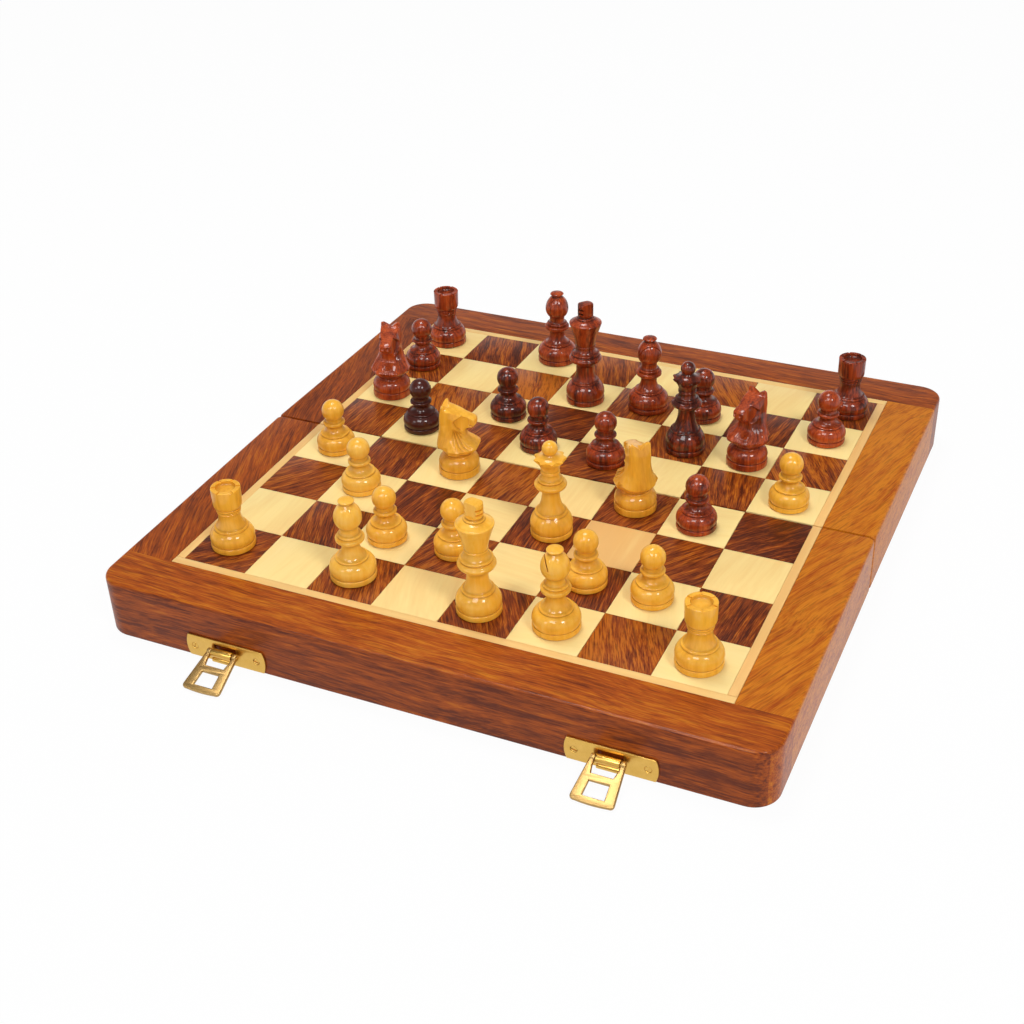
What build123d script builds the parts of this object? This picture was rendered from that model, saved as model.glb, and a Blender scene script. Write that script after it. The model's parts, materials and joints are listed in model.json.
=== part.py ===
"""Folding chess set: an inlaid board in two hinged halves, its clasps, and the men standing on it.

Millimetres, +Z up. The origin is on the table, below the middle of the fold. +X runs along the
near edge to the right and +Y runs from the near half to the far half.

Each half is a tray turned upside down. It has a deck plane of its own: the origin is in the
playing surface at the middle of the fold, local X runs along the fold, local Y runs outward to
the clasp side and local Z rises out of the playing surface. The hinge barrels lie under the fold
and hold it a little above the table, so the two decks slope down to the outer edges.
"""
import os
from math import asin, atan2, cos, degrees, hypot, pi, sin, sqrt

from build123d import *

os.makedirs("parts", exist_ok=True)

# ---------------------------------------------------------------- the board
square = 31.2
files = 8
ranks_per_half = 4
joint_line = 0.12
strip_width = 4.2
border_width = 23.7
board_thickness = 28.0
corner_radius = 11.5
top_edge_radius = 1.4
bottom_edge_radius = 1.0
fold_edge_chamfer = 0.3
fold_gap = 0.12

veneer_thickness = 1.6
sheet_thickness = 0.4
panel_thickness = 3.5
panel_ledge = 4.0
fold_rail_thickness = 11.0

# ---------------------------------------------------------------- the storage inside each half
lining_thickness = 2.0
divider_recess = 2.0
man_clearance = 0.5
officer_troughs = 4
pawn_troughs = 2

# ---------------------------------------------------------------- hinges
hinge_offset = 78.0
knuckle_radius = 2.0
knuckle_count = 5
knuckle_gap = 0.3
hinge_length = 30.0
leaf_height = 15.0
leaf_thickness = 1.0
hinge_pin_radius = 1.0
pin_clearance = 0.05
rim_to_axis = 0.2
barrel_clearance = 0.4
hinge_screw_spacing = 18.0

# ---------------------------------------------------------------- screws
screw_head_radius = 2.1
screw_head_height = 1.2
screw_shank_radius = 0.9
screw_length = 8.0
screw_slot_width = 0.5
screw_slot_depth = 0.5
screw_clearance = 0.03

# ---------------------------------------------------------------- clasps
clasp_offset = 88.0
clasp_plate_length = 37.0
clasp_plate_height = 11.0
clasp_plate_thickness = 0.9
clasp_plate_bulge = 1.2
clasp_rim_margin = 0.95
clasp_screw_inset = 3.1
tongue_width = 10.0
tongue_roll_radius = 1.9
tongue_tail = 3.6
tongue_slot_margin = 0.4
clasp_pivot_height = 7.4
clasp_pivot_reach = 3.0
clasp_pin_radius = 0.8
clasp_pin_overhang = 0.2

loop_thickness = 1.7
loop_top_width = 14.8
loop_bottom_width = 18.2
loop_reach = 17.4
loop_bar_width = 2.6
loop_bar_bulge = 0.9
loop_crossbar_start = 8.2
loop_crossbar_width = 2.6
loop_window_top_width = 9.2
loop_window_bottom_width = 10.4
loop_ear_width = 1.9
loop_ear_radius = 1.6
loop_edge_radius = 0.5
loop_side_gap = 0.3
loop_table_gap = 0.1

catch_plate_length = 22.0
catch_plate_height = 10.0
catch_plate_thickness = 0.9
catch_screw_spacing = 15.0
catch_tongue_width = 7.6
catch_tongue_thickness = 1.1
catch_tongue_reach = 4.4
catch_clearance = 0.5

# ---------------------------------------------------------------- the men
felt_thickness = 0.3
felt_inset = 0.4
standing_gap = 0.02
magnet_radius = 4.0
magnet_height = 3.0
magnet_clearance = 0.1
groove_depth = 0.45
groove_height = 0.2
groove_flare = 0.15
groove_rise = 0.25
bead_bow = 0.35

king_foot_radius = 9.7
king_foot_height = 2.4
king_dome_height = 7.7
king_ledge_radius = 6.9
king_ledge_height = 1.0
king_stem_height = 6.6
king_neck_radius = 4.6
king_collar_radius = 8.1
king_ring_radius = 7.0
king_waist_radius = 4.9
king_crown_radius = 8.05
king_crown_height = 11.6
king_finial_radius = 3.9
king_finial_height = 5.2
king_cross_thickness = 5.2
king_cross_notch = 1.1
king_notch_levels = (0.8, 3.1)

queen_foot_radius = 9.4
queen_foot_height = 2.4
queen_dome_height = 7.9
queen_ledge_radius = 7.1
queen_ledge_height = 1.0
queen_stem_height = 8.4
queen_neck_radius = 3.9
queen_collar_radius = 7.2
queen_ring_radius = 5.6
queen_waist_radius = 4.0
queen_crown_radius = 7.2
queen_crown_height = 5.4
queen_ball_radius = 3.5
queen_ball_neck_radius = 2.6
queen_scallops = 9
queen_scallop_radius = 3.0
queen_scallop_depth = 0.8

bishop_foot_radius = 10.1
bishop_foot_height = 2.3
bishop_dome_height = 6.8
bishop_ledge_radius = 7.0
bishop_ledge_height = 0.9
bishop_stem_height = 4.6
bishop_neck_radius = 4.0
bishop_collar_radius = 6.3
bishop_ring_radius = 5.1
bishop_head_radius = 6.1
bishop_head_lower_height = 4.7
bishop_head_upper_height = 6.8
bishop_tip_neck_radius = 2.7
bishop_tip_radius = 3.5
bishop_slit_width = 0.6
bishop_slit_depth = 4.0
bishop_slit_angle = 55.0

rook_foot_radius = 9.9
rook_foot_height = 2.4
rook_dome_height = 6.4
rook_ledge_radius = 7.4
rook_ledge_height = 1.0
rook_stem_height = 5.6
rook_neck_radius = 4.95
rook_tower_radius = 6.6
rook_tower_height = 7.5
rook_cup_radius = 4.3
rook_cup_depth = 1.8
rook_notches = 3
rook_notch_width = 0.9
rook_notch_depth = 0.7

pawn_foot_radius = 9.0
pawn_foot_height = 2.1
pawn_dome_height = 6.1
pawn_ledge_radius = 6.8
pawn_ledge_height = 0.9
pawn_stem_height = 2.9
pawn_neck_radius = 4.3
pawn_collar_radius = 5.3
pawn_ball_radius = 5.4
pawn_ball_neck_radius = 3.9

knight_foot_radius = 9.7
knight_foot_height = 2.5
knight_drum_height = 3.6
knight_shoulder_height = 3.9
knight_neck_radius = 6.8
knight_bust_radius = 9.8
knight_bust_height = 25.7
knight_ear_cut_width = 7.0
knight_ear_cut_depth = 3.0

# ---------------------------------------------------------------- worked out from the sizes above
field_half_width = files / 2 * square
strip_outer = field_half_width + strip_width
board_half_width = strip_outer + border_width
field_depth = ranks_per_half * square
half_gap = fold_gap / 2
panel_top = -(veneer_thickness + sheet_thickness)
ledge_top = panel_top - panel_thickness
lining_bottom = ledge_top - lining_thickness
rim = -board_thickness
inner_half_width = strip_outer - panel_ledge
inner_start = half_gap + fold_rail_thickness
inner_length = inner_half_width - inner_start
axis_depth = board_thickness + rim_to_axis

# The outer bottom edge of each half and the hinge barrels stand on the table together.
edge_reach = hypot(board_half_width - bottom_edge_radius, rim_to_axis + bottom_edge_radius)
edge_angle = atan2(rim_to_axis + bottom_edge_radius, board_half_width - bottom_edge_radius)
tilt = edge_angle + asin((knuckle_radius - bottom_edge_radius) / edge_reach)


def deck_plane(side):
    """Deck of the far half (side 1) or the near half (side -1)."""
    up = Vector(0, side * sin(tilt), cos(tilt))
    origin = Vector(0, 0, knuckle_radius) + up * axis_depth
    return Plane(origin=origin, x_dir=(side, 0, 0), z_dir=up)


near_deck = deck_plane(-1)
far_deck = deck_plane(1)
decks = {"near": near_deck, "far": far_deck}


def write_node(label, *solids):
    """Writes one node: a single solid, or several that stay separate."""
    node = solids[0] if len(solids) == 1 else Compound(children=list(solids))
    node.label = label
    export_step(node, f"parts/{label}.step")
    print(f"{label:24s} {len(node.solids()):3d} solids {node.volume:10.1f} mm3")


def slab(x_range, y_range, z_range, mode=Mode.ADD):
    """A rectangular board between two places on each local axis of the part being built."""
    low = Vector(x_range[0], y_range[0], z_range[0])
    size = Vector(x_range[1], y_range[1], z_range[1]) - low
    with Locations(low + size / 2):
        Box(size.X, size.Y, size.Z, mode=mode)


# ---------------------------------------------------------------- wooden frame of each half
def outer_rail(deck, seats):
    """Border rail on the clasp side, with the board's two rounded corners, the panel's ledge
    and the holes of the screws in its face."""
    with BuildPart(deck) as rail:
        with BuildSketch(deck.offset(rim)) as outline:
            with Locations((0, (strip_outer + board_half_width) / 2)):
                Rectangle(2 * board_half_width, border_width)
            fillet(outline.vertices().sort_by(Axis.Y)[-2:], corner_radius)
        extrude(amount=board_thickness)
        faces_up = rail.faces().sort_by(Axis(deck.origin, deck.z_dir))
        outward = Axis(deck.origin, deck.y_dir)
        fillet(faces_up[-1].edges().sort_by(outward)[1:], top_edge_radius)
        faces_up = rail.faces().sort_by(Axis(deck.origin, deck.z_dir))
        fillet(faces_up[0].edges().sort_by(outward)[1:], bottom_edge_radius)
        with BuildSketch(deck.offset(rim)):
            with Locations((0, strip_outer - panel_ledge / 2)):
                Rectangle(2 * strip_outer, panel_ledge)
        extrude(amount=ledge_top - rim)
        screw_bores(seats)
    return rail.part


def side_rails(deck):
    """Border rails at both ends of the fold, butted against the outer rail."""
    sideways = Axis(deck.origin, deck.x_dir)
    outward = Axis(deck.origin, deck.y_dir)
    upward = Axis(deck.origin, deck.z_dir)
    with BuildPart(deck) as rails:
        slab((strip_outer, board_half_width), (half_gap, strip_outer), (rim, 0))
        outer_edges = rails.faces().sort_by(sideways)[-1].edges()
        long_edges = outer_edges.sort_by(upward)
        fillet(long_edges[-1], top_edge_radius)
        outer_edges = rails.faces().sort_by(sideways)[-1].edges()
        fillet(outer_edges.sort_by(upward)[0], bottom_edge_radius)
        fold_edges = rails.faces().sort_by(outward)[0].edges()
        chamfer(fold_edges.sort_by(sideways)[1:], fold_edge_chamfer)
        slab((inner_half_width, strip_outer), (half_gap, inner_half_width), (rim, ledge_top))
        mirror(about=Plane(deck.origin, x_dir=deck.y_dir, z_dir=deck.x_dir))
    return rails.part


def barrel_bore(deck):
    """Plane across the hinge axis at one end of the barrel at local X = 0, looking along X."""
    axis_origin = deck.from_local_coords((0, 0, -axis_depth))
    return Plane(axis_origin, x_dir=deck.y_dir, z_dir=deck.x_dir)


def fold_rail(deck):
    """Rail under the fold, notched for the hinge barrels and let in for the hinge leaves."""
    with BuildPart(deck) as rail:
        slab((-inner_half_width, inner_half_width), (half_gap, inner_start), (rim, ledge_top))
        for side in (-1, 1):
            x_low = side * hinge_offset - hinge_length / 2
            x_range = (x_low - knuckle_gap, x_low + hinge_length + knuckle_gap)
            leaf_depth = (half_gap, half_gap + leaf_thickness)
            slab(x_range, leaf_depth, (rim, rim + leaf_height), mode=Mode.SUBTRACT)
            with BuildSketch(barrel_bore(deck).offset(x_range[0])):
                Circle(knuckle_radius + barrel_clearance)
            extrude(amount=x_range[1] - x_range[0], mode=Mode.SUBTRACT)
        screw_bores(hinge_seats)
    return rail.part


# ---------------------------------------------------------------- screws and their holes
def screw_seats(offset, spacing, depth, height, facing):
    """Local places of screw heads: a pair at each side of the board's middle. The heads look
    outward from the fold (facing 1) or into it (facing -1)."""
    seats = []
    for side in (-1, 1):
        for hand in (-1, 1):
            place = (side * offset + hand * spacing / 2, depth, height)
            seats.append(Plane(place, x_dir=(1, 0, 0), z_dir=(0, facing, 0)).location)
    return seats


def screw_steps(clearance):
    """Outline of a countersunk screw from its tip up, as radius and height pairs."""
    shank = screw_shank_radius + clearance
    head = screw_head_radius + clearance
    tip = -screw_length - clearance
    return [(0, tip), (shank, tip + shank), (shank, -screw_head_height), (head, 0), (0, 0)]


with BuildPart() as screw_body:
    with BuildSketch(Plane.XZ):
        with BuildLine():
            Polyline(*screw_steps(0), close=True)
        make_face()
    revolve(axis=Axis.Z)
    slab((-screw_head_radius, screw_head_radius), (-screw_slot_width / 2, screw_slot_width / 2),
         (-screw_slot_depth, 0), mode=Mode.SUBTRACT)

with BuildPart() as screw_hole:
    with BuildSketch(Plane.XZ):
        with BuildLine():
            Polyline(*screw_steps(screw_clearance), close=True)
        make_face()
    revolve(axis=Axis.Z)


def screw_bores(seats):
    """Cuts a screw's hole, countersink included, at each seat of the part being built."""
    with Locations(*seats):
        add(screw_hole.part, mode=Mode.SUBTRACT)


def screws(deck, seats):
    """Screws at the seats, as separate solids."""
    return [screw_body.part.moved(deck.location * seat) for seat in seats]


hinge_seats = screw_seats(hinge_offset, hinge_screw_spacing, half_gap,
                          rim + (leaf_height + knuckle_radius) / 2, -1)

# ---------------------------------------------------------------- playing surface
def square_centres(dark):
    """Local places of one colour's squares on a half; a square next to the fold's middle line
    with equal odd or even row and column numbers is dark."""
    for column in range(files):
        for row in range(ranks_per_half):
            if ((column + row) % 2 == 0) == dark:
                yield (column + 0.5) * square - field_half_width, row


def squares(deck, dark):
    """Inlaid squares of one colour; the row at the fold gives up the width of the fold's gap."""
    with BuildPart(deck) as inlay:
        for x, row in square_centres(dark):
            half = (square - joint_line) / 2
            y_low = max(half_gap, row * square + joint_line / 2)
            y_high = (row + 1) * square - joint_line / 2
            slab((x - half, x + half), (y_low, y_high), (-veneer_thickness, 0))
    return inlay.part


def inlay_strips(deck):
    """Pale strips round three sides of the field."""
    outer = strip_outer - joint_line
    with BuildPart(deck) as strips:
        slab((-outer, outer), (field_depth, outer), (-veneer_thickness, 0))
        for side in (-1, 1):
            ends = sorted((side * field_half_width, side * outer))
            slab(ends, (half_gap, field_depth - joint_line), (-veneer_thickness, 0))
    return strips.part


def sheet(deck, z_range):
    """A flat sheet that fills the frame from the fold to the border."""
    with BuildPart(deck) as layer:
        slab((-strip_outer, strip_outer), (half_gap, strip_outer), z_range)
    return layer.part


# ---------------------------------------------------------------- foam insert
def trough_layout():
    """Local X range of each trough: pawns at the two ends, officers between them."""
    widest_officer = max(king_foot_radius, queen_foot_radius, bishop_foot_radius,
                         rook_foot_radius, knight_foot_radius)
    officer_width = 2 * (widest_officer + man_clearance)
    pawn_width = 2 * (pawn_foot_radius + man_clearance)
    widths = [pawn_width] + [officer_width] * officer_troughs + [pawn_width] * (pawn_troughs - 1)
    divider = (2 * inner_half_width - sum(widths)) / (len(widths) + 1)
    x = -inner_half_width + divider
    troughs = []
    for width in widths:
        troughs.append((x, x + width))
        x += width + divider
    return troughs


def foam_dividers(deck):
    """Foam bars between the troughs."""
    troughs = trough_layout()
    starts = [-inner_half_width] + [high for low, high in troughs]
    ends = [low for low, high in troughs] + [inner_half_width]
    with BuildPart(deck) as bars:
        for start, end in zip(starts, ends):
            slab((start, end), (inner_start, inner_half_width),
                 (rim + divider_recess, lining_bottom))
    return bars.part


def foam_lining(deck):
    """Foam sheet under the panel."""
    with BuildPart(deck) as lining:
        slab((-inner_half_width, inner_half_width), (inner_start, inner_half_width),
             (lining_bottom, ledge_top))
    return lining.part


# ---------------------------------------------------------------- hinges
def knuckle_ranges(own):
    """X ranges of a leaf's own knuckles about the hinge's middle: the near leaf has the odd ones."""
    pitch = hinge_length / knuckle_count
    for index in range(knuckle_count):
        if (index % 2 == 0) == own:
            start = -hinge_length / 2 + index * pitch
            yield start + knuckle_gap / 2, start + pitch - knuckle_gap / 2


def hinge_leaves(deck, own):
    """Two hinge leaves let into the fold rail, each with its knuckles round the pin."""
    with BuildPart(deck) as leaves:
        for side in (-1, 1):
            middle = side * hinge_offset
            slab((middle - hinge_length / 2, middle + hinge_length / 2),
                 (half_gap, half_gap + leaf_thickness),
                 (rim + knuckle_radius + barrel_clearance, rim + leaf_height))
            for low, high in knuckle_ranges(own):
                slab((middle + low, middle + high), (half_gap, half_gap + leaf_thickness),
                     (-axis_depth, rim + knuckle_radius + 2 * barrel_clearance))
                with BuildSketch(barrel_bore(deck).offset(middle + low)):
                    Circle(knuckle_radius)
                extrude(amount=high - low)
            with BuildSketch(barrel_bore(deck).offset(middle - hinge_length / 2)):
                Circle(hinge_pin_radius + pin_clearance)
            extrude(amount=hinge_length, mode=Mode.SUBTRACT)
        screw_bores(hinge_seats)
    return leaves.part


def hinge_pins(deck):
    """The pins of both hinges."""
    with BuildPart() as pins:
        for side in (-1, 1):
            start = side * hinge_offset - hinge_length / 2
            with BuildSketch(barrel_bore(deck).offset(start)):
                Circle(hinge_pin_radius)
            extrude(amount=hinge_length)
    return pins.part


# ---------------------------------------------------------------- clasps on the near half
clasp_middle = rim + clasp_rim_margin + clasp_plate_height / 2
clasp_pivot_level = rim + clasp_pivot_height
clasp_screw_spacing = clasp_plate_length - 2 * clasp_screw_inset
clasp_seats = screw_seats(clasp_offset, clasp_screw_spacing,
                          board_half_width + clasp_plate_thickness, clasp_middle, 1)
pivot_world = near_deck.from_local_coords((0, board_half_width + clasp_pivot_reach,
                                           clasp_pivot_level))
loop_length = loop_reach + loop_bar_width
tip_radius = hypot(loop_length, loop_thickness / 2)
tip_angle = atan2(loop_thickness / 2, loop_length)
loop_droop = asin((pivot_world.Z - loop_table_gap) / tip_radius) - tip_angle


def clasp_pivot(side):
    """World place of a clasp's pivot."""
    return near_deck.from_local_coords((side * clasp_offset, board_half_width
                                        + clasp_pivot_reach, clasp_pivot_level))


def pivot_section(deck, side, x):
    """Plane across a clasp's pivot: local X points out of the board and local Y up its face."""
    origin = deck.from_local_coords((side * clasp_offset + x, board_half_width
                                     + clasp_pivot_reach, clasp_pivot_level))
    return Plane(origin, x_dir=deck.y_dir, z_dir=deck.x_dir)


def clasp_plates(deck):
    """Screwed plates with a tongue that is rolled forward round the clasp's pin."""
    half_length = clasp_plate_length / 2
    half_height = clasp_plate_height / 2
    slot_half_width = tongue_width / 2 + tongue_slot_margin
    slot_top = clasp_pivot_level + tongue_roll_radius + tongue_slot_margin
    slot_bottom = clasp_pivot_level - tongue_roll_radius - tongue_tail
    with BuildPart(deck) as plates:
        for side in (-1, 1):
            origin = deck.from_local_coords((side * clasp_offset, board_half_width,
                                             clasp_middle))
            with BuildSketch(Plane(origin, x_dir=-deck.x_dir, z_dir=deck.y_dir)):
                with BuildLine():
                    Line((-half_length, -half_height), (half_length, -half_height))
                    SagittaArc((half_length, -half_height), (half_length, half_height),
                               -clasp_plate_bulge)
                    Line((half_length, half_height), (-half_length, half_height))
                    SagittaArc((-half_length, half_height), (-half_length, -half_height),
                               -clasp_plate_bulge)
                make_face()
            extrude(amount=clasp_plate_thickness)
            x_middle = side * clasp_offset
            plate_depth = (board_half_width, board_half_width + clasp_plate_thickness)
            slab((x_middle - slot_half_width, x_middle + slot_half_width), plate_depth,
                 (max(slot_bottom, rim + clasp_rim_margin + clasp_plate_thickness), slot_top),
                 mode=Mode.SUBTRACT)
            slab((x_middle - slot_half_width, x_middle + slot_half_width), plate_depth,
                 (slot_top - tongue_slot_margin - clasp_plate_thickness, slot_top))
            section = pivot_section(deck, side, -tongue_width / 2)
            with BuildSketch(section):
                Circle(tongue_roll_radius)
                with Locations((-clasp_pivot_reach / 2, tongue_roll_radius
                                - clasp_plate_thickness / 2)):
                    Rectangle(clasp_pivot_reach, clasp_plate_thickness)
                tail_width = clasp_plate_thickness * 2
                with Locations((0, -tongue_roll_radius - tongue_tail / 2
                                + clasp_plate_thickness)):
                    RectangleRounded(tail_width, tongue_tail, tail_width / 2 - joint_line)
            extrude(amount=tongue_width)
            with BuildSketch(section):
                Circle(clasp_pin_radius + pin_clearance)
            extrude(amount=tongue_width, mode=Mode.SUBTRACT)
        screw_bores(clasp_seats)
    return plates.part


def clasp_pins(deck):
    """Pins that carry the loops."""
    half_width = tongue_width / 2 + loop_side_gap + loop_ear_width + clasp_pin_overhang
    with BuildPart() as pins:
        for side in (-1, 1):
            with BuildSketch(pivot_section(deck, side, -half_width)):
                Circle(clasp_pin_radius)
            extrude(amount=2 * half_width)
    return pins.part


def clasp_loop(side):
    """Swinging loop: two eared arms, a crossbar and a rounded lift bar, leaning on the table."""
    outward = Vector(0, -cos(loop_droop), -sin(loop_droop))
    face_up = Vector(0, -sin(loop_droop), cos(loop_droop))
    flat = Plane(clasp_pivot(side), x_dir=Vector(-1, 0, 0), z_dir=face_up)
    top = loop_top_width / 2
    bottom = loop_bottom_width / 2
    ear_gap = tongue_width / 2 + loop_side_gap
    window_top = loop_crossbar_start + loop_crossbar_width
    lower_top = loop_window_top_width / 2
    lower_bottom = loop_window_bottom_width / 2
    with BuildPart() as loop:
        with BuildSketch(flat.offset(-loop_thickness / 2)):
            with BuildLine():
                Line((-top, 0), (top, 0))
                Line((top, 0), (bottom, loop_reach))
                SagittaArc((bottom, loop_reach), (bottom - loop_bar_width, loop_length),
                           -loop_bar_bulge)
                SagittaArc((bottom - loop_bar_width, loop_length),
                           (loop_bar_width - bottom, loop_length), -loop_bar_bulge)
                SagittaArc((loop_bar_width - bottom, loop_length), (-bottom, loop_reach),
                           -loop_bar_bulge)
                Line((-bottom, loop_reach), (-top, 0))
            make_face()
            with BuildLine():
                Polyline((-lower_top, window_top), (lower_top, window_top),
                         (lower_bottom, loop_reach), (-lower_bottom, loop_reach), close=True)
            make_face(mode=Mode.SUBTRACT)
            with Locations((0, loop_crossbar_start / 2)):
                Rectangle(2 * ear_gap, loop_crossbar_start, mode=Mode.SUBTRACT)
        extrude(amount=loop_thickness)
        upper = loop.faces().sort_by(Axis(flat.origin, flat.z_dir))[-1]
        fillet(upper.outer_wire().edges().sort_by(Axis(flat.origin, flat.y_dir))[2:],
               loop_edge_radius)
        for hand in (-1, 1):
            inner = hand * ear_gap
            ear_start = min(inner, inner + hand * loop_ear_width)
            ear_plane = Plane(clasp_pivot(side), x_dir=outward, z_dir=flat.x_dir)
            with BuildSketch(ear_plane.offset(ear_start)):
                Circle(loop_ear_radius)
            extrude(amount=loop_ear_width)
        with BuildSketch(Plane(clasp_pivot(side), x_dir=outward, z_dir=flat.x_dir)):
            Circle(clasp_pin_radius + pin_clearance)
        extrude(amount=loop_top_width, both=True, mode=Mode.SUBTRACT)
    return loop.part


# ---------------------------------------------------------------- catches on the far half
# With the board closed the far deck is the near one turned over about the hinge axis, and the
# catch's tongue then stands just inside the bottom bar of the hanging loop.
closed_reach = loop_reach - catch_clearance - catch_tongue_thickness / 2
catch_level = -(2 * axis_depth) - (clasp_pivot_level - closed_reach)
catch_seats = screw_seats(clasp_offset, catch_screw_spacing,
                          board_half_width + catch_plate_thickness, catch_level, 1)


def catch_plates(deck):
    """Screwed plates with a tongue for the loops to drop over."""
    with BuildPart(deck) as plates:
        for side in (-1, 1):
            x_middle = side * clasp_offset
            slab((x_middle - catch_plate_length / 2, x_middle + catch_plate_length / 2),
                 (board_half_width, board_half_width + catch_plate_thickness),
                 (catch_level - catch_plate_height / 2, catch_level + catch_plate_height / 2))
            slab((x_middle - catch_tongue_width / 2, x_middle + catch_tongue_width / 2),
                 (board_half_width, board_half_width + catch_tongue_reach),
                 (catch_level - catch_tongue_thickness / 2,
                  catch_level + catch_tongue_thickness / 2))
        screw_bores(catch_seats)
    return plates.part


# ---------------------------------------------------------------- turned men
def swell(start_radius, end_radius, rise):
    """Bow of an arc that is upright at the larger of two radii."""
    run = abs(end_radius - start_radius)
    chord = hypot(run, rise)
    arc_radius = chord ** 2 / (2 * run)
    return arc_radius - sqrt(arc_radius ** 2 - chord ** 2 / 4)


def turn(steps):
    """Draws a turned outline from the axis outward and up. Each step gives the radius that it
    reaches, its rise, and how far its surface bows outward from a straight line."""
    radius, height = 0, felt_thickness
    for next_radius, rise, bow in steps:
        start = (radius, height)
        radius, height = next_radius, height + rise
        if bow:
            SagittaArc(start, (radius, height), -bow)
        else:
            Line(start, (radius, height))
    if radius > 0:
        Line((radius, height), (0, height))
    Line((0, height), (0, felt_thickness))


def pedestal(foot_radius, foot_height, dome_height, ledge_radius, ledge_height, dome_bow):
    """Foot disc, groove, dome and the ledge that every man has."""
    return [(foot_radius, 0, 0), (foot_radius, foot_height, 0),
            (foot_radius - groove_depth, groove_height, 0),
            (foot_radius - groove_depth + groove_flare, groove_rise, 0),
            (ledge_radius, dome_height, dome_bow),
            (ledge_radius - 0.2, ledge_height, bead_bow),
            (ledge_radius - 0.85, groove_flare, 0)]


def ball(neck_radius, radius):
    """Ball that stands on a neck."""
    rise = sqrt(radius ** 2 - neck_radius ** 2)
    return [(radius, rise, swell(neck_radius, radius, rise)),
            (0, radius, radius * (1 - sqrt(0.5)))]


def height_of(steps):
    """Height that a man's steps reach above the square."""
    return felt_thickness + sum(rise for radius, rise, bow in steps)


king_steps = pedestal(king_foot_radius, king_foot_height, king_dome_height,
                      king_ledge_radius, king_ledge_height, 1.35) + [
    (king_neck_radius, king_stem_height, -0.45),
    (king_neck_radius, 1.6, 0),
    (king_collar_radius - 0.8, 2.4, -0.35),
    (king_collar_radius, 1.2, 0),
    (king_collar_radius - 0.2, 1.0, 0.2),
    (king_ring_radius + 0.1, 1.2, 0),
    (king_ring_radius - 0.1, 0.2, 0),
    (king_ring_radius - 0.1, 1.2, bead_bow),
    (king_ring_radius - 1.1, 0.3, 0),
    (king_waist_radius, 2.9, -0.35),
    (king_waist_radius, 0.6, 0.25),
    (king_waist_radius - 0.1, 0.1, 0),
    (king_crown_radius, king_crown_height, -0.25),
    (king_crown_radius, 0.7, 0),
    (king_crown_radius - 0.65, 0.35, 0)]
king_lid_start = height_of(king_steps)
king_steps += [
    (king_finial_radius + 0.4, 1.6, 0.25),
    (king_finial_radius + 0.3, 0.7, 0.2),
    (king_finial_radius - 0.5, 0.15, 0),
    (king_finial_radius - 0.5, 0.5, 0)]
king_cross_start = height_of(king_steps)
king_steps += [
    (king_finial_radius, 0.9, 0),
    (king_finial_radius, king_finial_height, 0),
    (king_finial_radius - 0.6, 0.8, 0.2),
    (0, 0.3, 0)]

queen_steps = pedestal(queen_foot_radius, queen_foot_height, queen_dome_height,
                       queen_ledge_radius, queen_ledge_height, 1.3) + [
    (queen_neck_radius, queen_stem_height, -0.5),
    (queen_neck_radius, 2.2, 0),
    (queen_collar_radius - 0.6, 1.6, -0.3),
    (queen_collar_radius, 1.2, 0),
    (queen_collar_radius - 0.3, 0.8, 0),
    (queen_ring_radius, 1.0, 0),
    (queen_ring_radius - 0.1, 0.2, 0),
    (queen_ring_radius - 0.1, 1.0, bead_bow),
    (queen_ring_radius - 0.9, 0.2, 0),
    (queen_waist_radius, 2.6, -0.25),
    (queen_waist_radius, 0.7, 0.3),
    (queen_waist_radius, 0.7, 0.3),
    (queen_waist_radius, 0.2, 0)]
queen_crown_start = height_of(queen_steps)
queen_steps += [
    (queen_crown_radius, queen_crown_height, -0.6),
    (queen_crown_radius, 0.5, 0),
    (queen_crown_radius - 0.6, 0.1, 0),
    (queen_ball_neck_radius + 0.4, 1.6, -0.35),
    (queen_ball_neck_radius, 0.5, 0)] + ball(queen_ball_neck_radius, queen_ball_radius)

bishop_steps = pedestal(bishop_foot_radius, bishop_foot_height, bishop_dome_height,
                        bishop_ledge_radius, bishop_ledge_height, 1.6) + [
    (bishop_neck_radius, bishop_stem_height, -0.5),
    (bishop_neck_radius, 1.6, 0),
    (bishop_collar_radius - 0.4, 1.6, -0.25),
    (bishop_collar_radius, 1.1, 0.2),
    (bishop_collar_radius - 0.4, 0.9, 0.2),
    (bishop_ring_radius - 0.1, 0.3, 0),
    (bishop_ring_radius, 1.2, bead_bow),
    (bishop_ring_radius - 0.8, 0.2, 0),
    (bishop_neck_radius - 0.1, 1.6, 0),
    (bishop_neck_radius - 0.1, 1.5, 0)]
bishop_head_start = height_of(bishop_steps)
bishop_steps += [
    (bishop_head_radius, bishop_head_lower_height,
     swell(bishop_neck_radius - 0.1, bishop_head_radius, bishop_head_lower_height)),
    (bishop_tip_neck_radius, bishop_head_upper_height,
     swell(bishop_tip_neck_radius, bishop_head_radius, bishop_head_upper_height)),
    (bishop_tip_radius, 1.4, 0),
    (bishop_tip_radius, 0.5, 0),
    (bishop_tip_radius - 0.5, 0.1, 0),
    (0, -0.7, 0)]

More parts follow.
